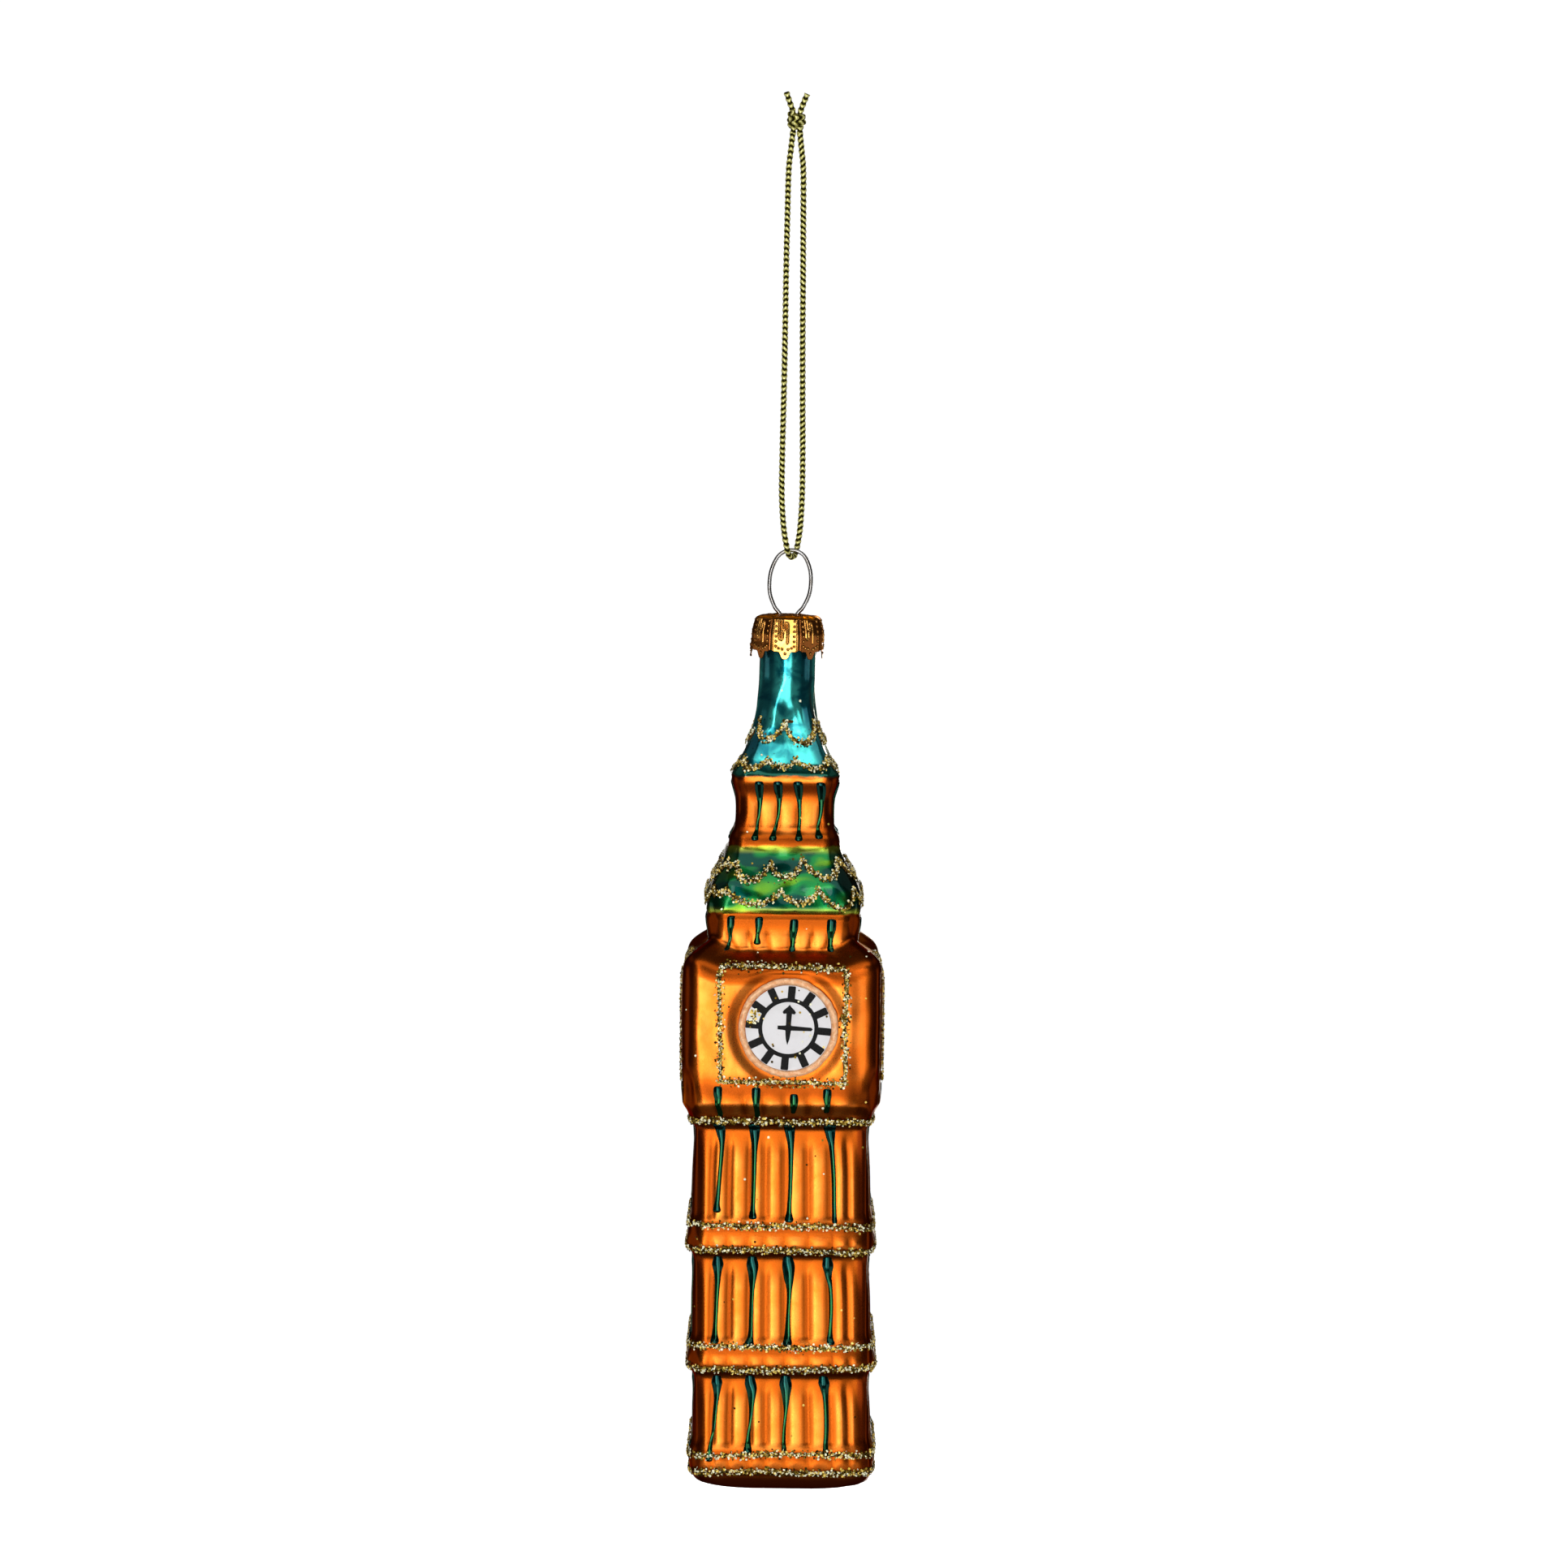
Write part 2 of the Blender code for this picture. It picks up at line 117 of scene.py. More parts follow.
def add_values(obj, name, values):
    """A number for each point, read by the material."""
    layer = obj.data.attributes.new(name, "FLOAT", "POINT")
    layer.data.foreach_set("value", values)


class Pile:
    """Points and faces of several small closed shapes that make up one piece."""

    def __init__(self):
        self.points = []
        self.faces = []
        self.values = []

    def add(self, points, faces, values):
        start = len(self.points)
        self.points += points
        self.faces += [tuple(start + index for index in face) for face in faces]
        self.values += values

    def make(self, name, material, value_name, smooth=True):
        obj = new_mesh(name, self.points, self.faces, material, smooth)
        add_values(obj, value_name, self.values)
        return obj


def around(radius, angle):
    """The two flat coordinates of a place on a circle."""
    return radius * math.cos(angle), radius * math.sin(angle)


def ring_faces(rows, columns, first=0):
    """Quads joining closed rings that follow one another."""
    faces = []
    for row in range(rows - 1):
        upper = first + row * columns
        for column in range(columns):
            after = (column + 1) % columns
            faces.append((upper + column, upper + columns + column,
                          upper + columns + after, upper + after))
    return faces


def loop_faces(rows, columns):
    """Quads joining rings that follow one another round a closed loop."""
    faces = []
    for row in range(rows):
        here, following = row * columns, (row + 1) % rows * columns
        for column in range(columns):
            after = (column + 1) % columns
            faces.append((here + column, here + after, following + after, following + column))
    return faces


def fan_faces(first, middle, columns, flipped=False):
    """Triangles that close a ring with its middle point."""
    faces = []
    for column in range(columns):
        edge = (first + column, first + (column + 1) % columns)
        faces.append((edge[::-1] if flipped else edge) + (middle,))
    return faces


def end_faces(count, sides):
    """The two flat ends of a tube of points."""
    return [tuple(range(sides)), tuple(range(count - sides, count))[::-1]]


def smooth_route(points, step):
    """Points about one step apart on a Catmull-Rom curve through the given points."""
    places = [Vector(point) for point in points]
    padded = [2 * places[0] - places[1]] + places + [2 * places[-1] - places[-2]]
    route = []
    for index in range(len(places) - 1):
        before, start, end, after = padded[index:index + 4]
        pieces = max(1, round((end - start).length / step))
        for piece in range(pieces):
            t = piece / pieces
            route.append(0.5 * (2 * start + (end - before) * t
                                + (2 * before - 5 * start + 4 * end - after) * t * t
                                + (3 * start - before - 3 * end + after) * t ** 3))
    return route + [places[-1]]


def tube_parts(route, sides, radius_at):
    """Rings, faces and end caps of a tube; radius_at(angle, distance) gives its radius."""
    tangents = [(route[min(i + 1, len(route) - 1)] - route[max(i - 1, 0)]).normalized()
                for i in range(len(route))]
    across = tangents[0].orthogonal().normalized()
    if abs(tangents[0].y) < 0.9:
        across = (Vector((0, -1, 0)) - tangents[0] * -tangents[0].y).normalized()
    points, travelled = [], 0.0
    for index, (place, tangent) in enumerate(zip(route, tangents)):
        across = (across - tangent * across.dot(tangent)).normalized()
        side = tangent.cross(across)
        if index:
            travelled += (place - route[index - 1]).length
        for column in range(sides):
            angle = math.tau * column / sides
            reach = radius_at(angle, travelled)
            points.append(place + (across * math.cos(angle) + side * math.sin(angle)) * reach)
    faces = ring_faces(len(route), sides) + end_faces(len(points), sides)
    return points, [face[::-1] for face in faces]


# ---------------------------------------------------------------- material nodes

class Paint:
    """A Principled material and short ways to add nodes to it."""

    def __init__(self, name, **settings):
        self.material = bpy.data.materials.new(name)
        self.material.use_nodes = True
        self.tree = self.material.node_tree
        self.shader = self.tree.nodes["Principled BSDF"]
        for socket, value in settings.items():
            self.set(self.shader, socket.replace("_", " "), value)

    def set(self, node, socket, value):
        if isinstance(value, bpy.types.NodeSocket):
            self.tree.links.new(value, node.inputs[socket])
        elif isinstance(value, tuple) and len(value) == 3 and node.inputs[socket].type == "RGBA":
            node.inputs[socket].default_value = (*value, 1.0)
        else:
            node.inputs[socket].default_value = value

    def node(self, kind, inputs=(), output=0, **settings):
        node = self.tree.nodes.new("ShaderNode" + kind)
        for name, value in settings.items():
            setattr(node, name, value)
        for socket, value in dict(inputs).items():
            self.set(node, socket, value)
        return node.outputs[output]

    def place(self):
        """Position on the piece in millimetres."""
        coordinates = self.node("TexCoord", output="Object")
        return self.node("VectorMath", {0: coordinates, "Scale": 1000.0}, operation="SCALE")

    def stretch(self, vector, scale):
        return self.node("VectorMath", {0: vector, 1: scale}, operation="MULTIPLY")

    def noise(self, vector, scale, detail=2.0, roughness=0.5, distortion=0.0):
        return self.node("TexNoise", {"Vector": vector, "Scale": scale, "Detail": detail,
                                      "Roughness": roughness, "Distortion": distortion})

    def math(self, operation, a, b=0.0, clamp=False):
        return self.node("Math", {0: a, 1: b}, operation=operation, use_clamp=clamp)

    def between(self, value, low, high, start=0.0, end=1.0):
        """Smooth step from start to end as value goes from low to high."""
        return self.node("MapRange", {"Value": value, "From Min": low, "From Max": high,
                                      "To Min": start, "To Max": end},
                         interpolation_type="SMOOTHSTEP")

    def mix(self, share, a, b):
        node = self.tree.nodes.new("ShaderNodeMix")
        node.data_type = "RGBA"
        for index, value in ((0, share), (6, a), (7, b)):
            if isinstance(value, bpy.types.NodeSocket):
                self.tree.links.new(value, node.inputs[index])
            else:
                node.inputs[index].default_value = (*value, 1.0) if index else value
        return node.outputs[2]

    def stored(self, name):
        return self.node("Attribute", output="Fac", attribute_name=name)

    def bump(self, height, distance, strength=1.0, normal=None):
        inputs = {"Height": height, "Distance": distance * MM, "Strength": strength}
        if normal:
            inputs["Normal"] = normal
        return self.node("Bump", inputs)

    def finish(self, **sockets):
        for socket, value in sockets.items():
            self.set(self.shader, socket.replace("_", " "), value)
        return self.material


# ---------------------------------------------------------------- camera and stage

CAMERA_PLACE = (-0.00087, -0.6987, -0.06327)
CAMERA_TILT_DEG = 86.5
CAMERA_ROLL_DEG = 0.63

camera_data = bpy.data.cameras.new("camera")
camera_data.lens = 96.96
camera_data.sensor_width = 36.0
camera_data.clip_end = 20.0
camera = bpy.data.objects.new("camera", camera_data)
bpy.context.collection.objects.link(camera)
camera.matrix_world = (Matrix.Translation(CAMERA_PLACE)
                       @ Matrix.Rotation(math.radians(CAMERA_TILT_DEG), 4, "X")
                       @ Matrix.Rotation(math.radians(CAMERA_ROLL_DEG), 4, "Z"))
bpy.context.scene.camera = camera
bpy.context.scene.view_settings.view_transform = "Standard"

HANG_MIDDLE = Vector((0.0, 0.0, -0.14))
# The stage's outline from the middle of its floor to the middle of its roof, in metres.
STAGE_OUTLINE = [(0.0, -0.42), (1.2, -0.42), (1.8, -0.4), (2.3, -0.25), (2.6, 0.1), (2.75, 0.7),
                 (2.7, 2.2), (2.0, 3.2), (0.0, 3.6)]
STAGE_COLUMNS = 64


def build_stage():
    """A pale floor that curves up into a pale wall all round."""
    rings = STAGE_OUTLINE[1:-1]
    points = []
    for reach, z in rings:
        for column in range(STAGE_COLUMNS):
            x, y = around(reach / MM, math.tau * column / STAGE_COLUMNS)
            points.append((x, y, z / MM))
    faces = ring_faces(len(rings), STAGE_COLUMNS)
    last = len(points)
    points += [(0.0, 0.0, z / MM) for z in (STAGE_OUTLINE[0][1], STAGE_OUTLINE[-1][1])]
    faces += fan_faces(0, last, STAGE_COLUMNS)
    faces += fan_faces(last - STAGE_COLUMNS, last + 1, STAGE_COLUMNS, flipped=True)
    paint = Paint("stage_white", Base_Color=(0.85, 0.85, 0.85), Roughness=0.9,
                  Emission_Color=(1.0, 1.0, 1.0), Emission_Strength=0.93)
    stage = new_mesh("studio_stage", points, faces, paint.material)
    stage.visible_glossy = False
    stage.visible_shadow = False
    stage.visible_diffuse = False


def softbox(name, azimuth, elevation, wide, tall, radiance, mirrored=True, distance=0.9):
    """A soft light that covers wide by tall degrees as the ornament sees it."""
    data = bpy.data.lights.new(name, "AREA")
    data.shape = "RECTANGLE"
    data.size = 2 * distance * math.tan(math.radians(wide / 2))
    data.size_y = 2 * distance * math.tan(math.radians(tall / 2))
    data.energy = radiance * math.pi * data.size * data.size_y
    light = bpy.data.objects.new(name, data)
    turn, lift = math.radians(azimuth), math.radians(elevation)
    out = Vector((math.sin(turn) * math.cos(lift), -math.cos(turn) * math.cos(lift),
                  math.sin(lift)))
    light.location = HANG_MIDDLE + out * distance
    light.rotation_mode = "QUATERNION"
    light.rotation_quaternion = out.to_track_quat("Z", "Y")
    light.visible_camera = False
    light.visible_glossy = mirrored
    bpy.context.collection.objects.link(light)


# For each side's softboxes: name, azimuth, share of full strength and elevation of the low one.
LIT_SIDES = (("front", 0.0, 1.0, -8.0), ("back", 180.0, 0.55, -13.0),
             ("right", 90.0, 0.38, -13.0), ("left", -90.0, 0.38, -13.0))


def build_lights():
    world = bpy.data.worlds.new("studio_air")
    world.use_nodes = True
    world.node_tree.nodes["Background"].inputs["Color"].default_value = (1.0, 0.97, 0.93, 1.0)
    world.node_tree.nodes["Background"].inputs["Strength"].default_value = 0.06
    bpy.context.scene.world = world
    for name, azimuth, strength, lower in LIT_SIDES:
        softbox(f"{name}_low_softbox", azimuth, lower, 28.0, 32.0, 2.0 * strength)
        softbox(f"{name}_high_softbox", azimuth, 42.0, 50.0, 24.0, 1.5 * strength ** 2)
        softbox(f"{name}_fill", azimuth, 10.0, 80.0, 80.0, 0.55 * strength ** 0.2, mirrored=False)
    for name, azimuth in (("front", -9.0), ("back", 171.0)):
        softbox(f"{name}_strip", azimuth, 4.0, 7.0, 56.0, 4.6)
    for azimuth in (45.0, 135.0, 225.0, 315.0):
        softbox(f"corner_softbox_{azimuth:.0f}", azimuth, -30.0, 40.0, 22.0, 0.6)


build_stage()
build_lights()

# ---------------------------------------------------------------- cord, knot and hanger

CORD_RADIUS = 0.5
CORD_ROUTE = [
    (-0.58, 0.0, 1.1), (-0.85, 0.0, -1.4), (-1.2, 0.0, -5.0), (-1.32, -0.05, -12.0),
    (-1.45, -0.1, -22.0), (-1.5, -0.2, -32.0), (-1.6, -0.35, -42.0), (-1.75, -0.6, -52.0),
    (-1.75, -1.05, -58.5), (-1.4, -1.6, -63.5), (-0.95, -1.85, -66.3), (-0.6, -1.2, -67.85),
    (0.0, 0.0, -68.4), (0.6, 1.2, -67.85), (0.95, 1.85, -66.3), (1.35, 1.6, -63.5),
    (1.6, 1.05, -58.5), (1.62, 0.6, -52.0), (1.5, 0.35, -42.0), (1.4, 0.2, -32.0),
    (1.35, 0.1, -22.0), (1.28, 0.05, -12.0), (1.2, 0.0, -5.0), (0.85, 0.0, -1.4),
    (0.58, 0.0, 1.1),
]
BRAID_PITCH = 0.93
KNOT_TURNS, KNOT_STEPS = 2.6, 76
# One strand's way up through the knot and out as its tail; the other strand mirrors it.
KNOT_CORE = [(0.58, 0.0, 1.0), (0.5, 0.0, 2.2), (0.45, 0.05, 3.4), (0.62, 0.1, 4.6),
             (1.15, 0.1, 6.1), (1.72, -0.05, 7.75)]


def braid_height(angle, travelled):
    """0 in the gaps of the braid and 1 on top of its stitches."""
    twist = 0.9 * math.sin(travelled / 11.0) + 0.5 * math.sin(travelled / 4.3 + 1.0)
    chevron = 1.3 * math.sin(2.0 * (angle + twist))
    return 0.5 + 0.5 * math.cos(math.tau * travelled / BRAID_PITCH + chevron)


def braid(pile, route, sides=20):
    heights = []

    def radius_at(angle, travelled):
        height = braid_height(angle, travelled)
        heights.append(height)
        return CORD_RADIUS * (0.8 + 0.26 * height)
    points, faces = tube_parts(route, sides, radius_at)
    pile.add(points, faces, heights)


def thread_paint():
    """Metallic gold thread, with painted highlights on its stitches and painted shade between them.
    """
    paint = Paint("gold_thread", Metallic=0.6, Roughness=0.3, Specular_Tint=(0.6, 0.5, 0.2))
    place = paint.place()
    fibres = paint.noise(place, 9.0, 3.0)
    height = paint.math("ADD", paint.stored("stitch"), paint.math("MULTIPLY", fibres, 0.2))
    # Painted shade in the braid's gaps, painted highlights on its stitches.
    shade = paint.mix(paint.between(height, 0.3, 0.62), (0.006, 0.005, 0.001), (0.3, 0.27, 0.03))
    shade = paint.mix(paint.between(height, 0.66, 0.95), shade, (1.0, 0.96, 0.4))
    return paint.finish(Base_Color=shade, Normal=paint.bump(fibres, 0.04, 0.6))


THREAD = thread_paint()


def build_cord():
    pile = Pile()
    braid(pile, smooth_route(CORD_ROUTE, 0.13))
    cord = pile.make("braided_cord", THREAD, "stitch")
    pile = Pile()
    wrap = []
    for step in range(KNOT_STEPS + 1):
        share = step / KNOT_STEPS
        squeeze = 1.0 - 0.12 * abs(2.0 * share - 1.0)
        x, y = around(squeeze, 0.6 + math.tau * KNOT_TURNS * share)
        wrap.append(Vector((1.12 * x, 0.95 * y, 2.05 + 2.3 * share)))
    braid(pile, wrap, 16)
    for side in (-1, 1):
        core = [(x * side, y * side, z) for x, y, z in KNOT_CORE]
        core[-1] = (core[-1][0], core[-1][1], core[-1][2] - 0.25 * (side > 0))
        braid(pile, smooth_route(core, 0.13), 16)
    knot = pile.make("tied_knot", THREAD, "stitch")
    for piece, node in ((cord, "hanging_cord"), (knot, "cord_knot")):
        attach(piece, "cord")
        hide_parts(node)
    path = smooth_route(CORD_ROUTE, 0.9)
    length = sum((b - a).length for a, b in zip(path, path[1:]))
    [c * MM for c in CORD_ROUTE[0]]
    [tuple(c * MM for c in point) for point in path]


WIRE_RADIUS = 0.335
# Half of the bent wire, across and up: the leg from its free end, then the ring to its top.
WIRE_HALF = [(2.95, -93.2), (2.75, -90.0), (2.2, -85.5), (1.45, -81.2), (1.3, -78.2),
             (2.35, -76.7), (3.2, -74.7), (3.42, -72.6), (3.15, -70.4), (2.25, -68.4),
             (1.1, -67.5), (0.0, -67.3)]


def build_hanger():
    """One bent wire: leg, ring and leg."""
    outline = WIRE_HALF + [(-x, z) for x, z in WIRE_HALF[-2::-1]]
    lean = bow(CAP_TOP_Z)
    top = WIRE_HALF[-1][1]
    route = smooth_route([(x + lean * min(1.0, (top - z) / (top - CAP_TOP_Z)), 0.0, z)
                          for x, z in outline], 0.35)
    paint = Paint("drawn_steel", Metallic=1.0)
    place = paint.place()
    scratches = paint.noise(paint.stretch(place, (6.0, 6.0, 0.8)), 1.0, 3.0)
    tarnish = paint.between(paint.noise(place, 0.6, 3.0), 0.45, 0.75)
    shade = paint.mix(tarnish, (0.5, 0.49, 0.48), (0.28, 0.23, 0.17))
    paint.finish(Base_Color=shade, Roughness=paint.between(scratches, 0.3, 0.8, 0.16, 0.24))
    points, faces = tube_parts(route, 20, lambda angle, travelled: WIRE_RADIUS)
    wire = new_mesh("bent_wire", points, faces, paint.material)
    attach(wire, "hanger")
    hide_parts("hanger_wire")


build_cord()
build_hanger()

# ---------------------------------------------------------------- the glass

PROFILE_STEP = 0.44
FACE_COLUMNS = 62


def walk(rows, step):
    """Rows the given distance apart along the profile."""
    result = [rows[0]]
    left = step
    for upper, lower in zip(rows, rows[1:]):
        length = math.hypot(upper[0] - lower[0], upper[1] - lower[1])
        done = 0.0
        while length - done >= left:
            done += left
            share = done / length
            result.append(tuple(a + (b - a) * share for a, b in zip(upper, lower)))
            left = step
        left -= length - done
    return result


def round_off(rows, reach):
    """Each row becomes the mean of its neighbours, as soft glass rounds its edges."""
    result = []
    for index in range(len(rows)):
        span = min(reach, index, len(rows) - 1 - index)
        near = rows[index - span:index + span + 1]
        result.append(tuple(sum(values) / len(near) for values in zip(*near)))
    return result


PROFILE = round_off(walk(TOWER_ROWS, PROFILE_STEP / 2), 3)[::2]


def tower_at(z):
    """Half width and corner radius of the glass at a height."""
    low, high = 0, len(PROFILE) - 1
    while high - low > 1:
        middle = (low + high) // 2
        if PROFILE[middle][0] > z:
            low = middle
        else:
            high = middle
    upper, lower = PROFILE[low], PROFILE[high]
    share = min(1.0, max(0.0, (upper[0] - z) / (upper[0] - lower[0])))
    return [a + (b - a) * share for a, b in zip(upper[1:], lower[1:])]


def section_radius(offset, half, corner):
    """Distance from the axis to the edge of a rounded square, offset from a face's middle."""
    turn = abs(offset)
    centre = half - corner
    if half * math.tan(turn) <= centre:
        return half / math.cos(turn)
    reach = centre * sum(around(1.0, turn))
    return reach + math.sqrt(max(0.0, reach ** 2 - 2 * centre ** 2 + corner ** 2))


# Across each face: the troughs (even places) and crests (odd places) of its moulded flutes.
FLUTES = {
    "shaft": [-14.2, -13.0, -11.4, -10.2, -8.6, -7.2, -5.2, -4.1, -2.6, -1.3, 0.7, 2.2, 4.5, 5.8,
              8.3, 9.9, 11.1, 12.2, 13.6],
    "foot": [-13.8, -12.0, -10.3, -8.2, -5.9, -4.3, -2.9, -1.3, 0.6, 2.2, 4.3, 6.0, 7.8, 9.6, 12.6],
    "frieze": [-11.8, -10.4, -8.8, -7.0, -5.6, -4.2, -2.6, -0.9, 1.3, 3.3, 4.7, 6.2, 7.6, 9.0,
               10.6],
    "belfry": [-7.6, -5.9, -4.5, -2.8, -1.2, 0.6, 2.3, 4.2, 5.9, 7.1, 8.3],
}
SEEDS = (0.0, 3.1, 7.7, 12.9)
MIRRORED = (1, -1, 1, -1)


def flute(kind, face, x):
    """1 on a crest and 0 in a trough; the crests are broad and the troughs are creases."""
    x = x * MIRRORED[face] + 0.25 * math.sin(5.0 * SEEDS[face])
    places = FLUTES[kind]
    for left, crest, right in zip(places[::2], places[1::2], places[2::2]):
        if left <= x < right:
            reach = (x - crest) / (right - crest if x > crest else left - crest)
            return 1.0 - reach ** 2
    return 0.0


# Heights of each fluted storey of the shaft: where the flutes start, are deep, fade and end.
TIERS = ((-161.6, -165.4, -175.9, -177.0), (-182.6, -186.2, -195.9, -196.9),
         (-202.4, -205.8, -213.2, -214.4))
# The top and bottom of each plain course below a storey, and the middles of the upper two.
COURSES = ((-177.0, -182.6), (-196.9, -202.4), (-214.4, -219.0))
COURSE_MIDDLES = (-179.6, -199.3)
BASE_COURSE_Z = -216.2
DISH_RADII = (10.4, 8.3)


def bell(middle, reach, z):
    """1 at a height, falling away smoothly to both sides."""
    return math.exp(-((z - middle) / reach) ** 2)


def from_dial(face, x, z):
    """Distance on a face from the middle of its dial."""
    return math.hypot(x - DIAL_SHIFT[face], z - DIAL_Z)


def relief(face, x, z, half):
    """How far the glass stands out of its plain form at a place on one face, in millimetres."""
    seed = SEEDS[face]
    lean = x * MIRRORED[face]
    out = 0.0
    if z < -133.0:
        out -= 0.32 * ease(9.5, 13.4, lean) * ease(-134.5, -136.5, z)
    if z < SHAFT_TOP_Z:
        crest = flute("shaft", face, x)
        for start, full, hold, end in TIERS:
            if end < z < start + 1.0:
                inside = ease(start + 1.0, start, z)
                out += 0.24 * ease(start, full, z) * ease(end, hold, z) * (crest - 1.0)
                out -= 0.24 * inside * ease(full - 4.0, start, z)
                out -= 0.16 * inside * ease(end, start, z)
        for middle in COURSE_MIDDLES:
            out += 0.3 * bell(middle - 0.6, 1.3, z)
            out += 0.2 * bell(middle - 0.7, 0.8, z) * (crest - 0.8)
        out += 0.2 * bell(BASE_COURSE_Z, 0.8, z) * (crest - 0.4)
    elif z < FOOT_TOP_Z:
        depth = ease(-154.8, -156.8, z) * ease(-160.2, -159.2, z)
        out += 0.2 * depth * (flute("foot", face, x) - 0.9)
        out += 0.85 * (HOUSING_HALF - half) * ease(-159.0, -157.2, z)
    elif z < PANEL_TOP_Z:
        out += 0.85 * (HOUSING_HALF - half) * ease(-150.8, -151.6, z)
        out -= 0.5 * ease(*DISH_RADII, from_dial(face, x, z))
        out += 0.12 * ripple(x * 0.22, z * 0.22, 3.0, seed) * ease(8.5, 11.5, abs(x))
    elif z < FRIEZE_TOP_Z:
        depth = ease(-128.6, -130.6, z) * ease(-133.0, -131.8, z)
        out += 0.3 * ease(-131.6, -127.3, z) * ease(FRIEZE_TOP_Z, -127.3, z)
        out += 0.16 * depth * (flute("frieze", face, x) - 0.9)
    elif -114.9 < z < -105.6:
        depth = ease(-106.5, -110.0, z) * ease(-114.4, -113.0, z)
        level = ease(-107.0, -108.8, z) * ease(-114.2, -112.2, z)
        out -= 0.8 * (half - 8.05) * level
        out += 0.17 * depth * (flute("belfry", face, x) - 0.85)
    if z > SPIRE_FOOT_Z:
        depth = ease(NECK_FOOT_Z, -93.0, z)
        crease = -0.2 - 5.0 * ease(-84.0, -104.0, z)
        fall = ease(NECK_FOOT_Z, -92.5, z) * ease(-104.0, -102.4, z)
        out -= 0.5 * fall * ease(crease - 0.3, crease + 4.4, lean)
        out += depth * (0.16 * ripple(x * 0.2, z * 0.13, 0.0, seed)
                        + 0.22 * ripple(x * 0.36, z * 0.24, 5.0, seed))
        out += 0.05 * ripple(x * 0.35, z * 0.1, 9.0, seed)
    elif ROOF_FOOT_Z < z < ROOF_TOP_Z:
        out += 0.5 * ripple(x * 0.2, z * 0.24, 1.0, seed)
        out += 0.1 * ripple(x * 0.5, z * 0.4, 8.0, seed)
    flat = max(half - 2.4, 0.5 * half)
    edge = 1.0 - ease(flat, half, abs(x))
    return out * edge + 0.07 * ripple(x * 0.13, z * 0.09, 2.0, seed)


def painted_shade(face, x, z, half):
    """Painted shade on one face, 0 to 1: in troughs, at storey tops, round the dials and at
    corners.
    """
    dark = 0.0
    if z < SHAFT_TOP_Z:
        crest = flute("shaft", face, x)
        for start, full, hold, end in TIERS:
            if end < z < start + 0.6:
                depth = ease(start, full, z) * ease(end - 0.2, hold, z)
                dark = max(0.85 * (1.0 - crest) ** 0.62 * depth,
                           0.62 * ease(full - 4.5, start, z), 0.3 * ease(hold, end, z))
        for top, bottom in COURSES:
            if bottom < z <= top:
                dark = max(0.75 * ease(top - 2.7, top - 1.4, z),
                           0.26 + 0.54 * (1.0 - crest ** 0.7),
                           0.8 * ease(bottom + 1.6, bottom + 0.9, z))
    elif z < -133.4:
        low = ease(-151.0, -154.8, z)
        dark = max(0.7 * ease(-135.6, -134.4, sagged(z, 0.5 * x / half) + 0.9),
                   0.4 * ease(DISH_RADII[0], 8.2, from_dial(face, x, z)),
                   0.36 * ease(8.4, 10.6, x * MIRRORED[face]),
                   0.75 * low * ease(-158.2, -155.4, z),
                   0.75 * low * (1.0 - flute("foot", face, x)), 0.85 * ease(-158.7, -159.7, z))
    elif z < ROOF_FOOT_Z:
        dark = max(0.7 * ease(-131.2, -127.8, z), 0.7 * (1.0 - flute("frieze", face, x)),
                   0.7 * ease(-132.6, -133.4, z))
    elif -115.9 < z < -103.9:
        dark = max(0.85 * ease(-104.9, -105.6, z) * ease(-110.2, -106.4, z),
                   0.55 * (1.0 - flute("belfry", face, x)) * ease(-106.0, -109.0, z),
                   0.75 * ease(-113.0, -114.4, z) * ease(-115.9, -115.2, z))
    return max(dark, 0.9 * ease(half - 3.4, half - 1.2, abs(x)))


def sagged(z, share):
    """The shoulders sag in the middle of each face: the height whose width is met there."""
    if not -150.0 < z < -129.2:
        return z
    return z + 1.9 * (1.0 - ease(0.55, 1.0, abs(2.0 * share)))


def face_share(turn):
    """The face at a turn, and where on it: -0.5 at its left edge and 0.5 at its right."""
    middle = math.floor(turn + 0.5)
    return int(middle) % 4, turn - middle


def tower_point(turn, half, corner, z):
    """A point of the tower's rounded square section; a turn of 4 is once round it."""
    face, share = face_share(turn)
    offset = math.atan(2.0 * share)
    radius = section_radius(offset, half, max(0.3, corner))
    x, y = around(radius, QUARTER * (turn - share - 1.0) + offset)
    return Vector((bow(z) + x, y, z))


def skin(turn, z):
    """A point on the outside of the glass; face 0, from -0.5 to 0.5, is the front."""
    face, share = face_share(turn)
    half, corner = tower_at(sagged(z, share))
    out = relief(face, 2.0 * share * half, z, half)
    return tower_point(turn, half + out, corner + out, z)


def turn_at(face, x, z):
    """The turn at which a face is x millimetres across from its middle."""
    share = 0.5 * x / tower_at(z)[0]
    return face + 0.5 * x / tower_at(sagged(z, share))[0]


def skin_normal(turn, z):
    step = 0.004
    along = skin(turn + step, z) - skin(turn - step, z)
    up = skin(turn, z + 0.15) - skin(turn, z - 0.15)
    return along.cross(up).normalized()


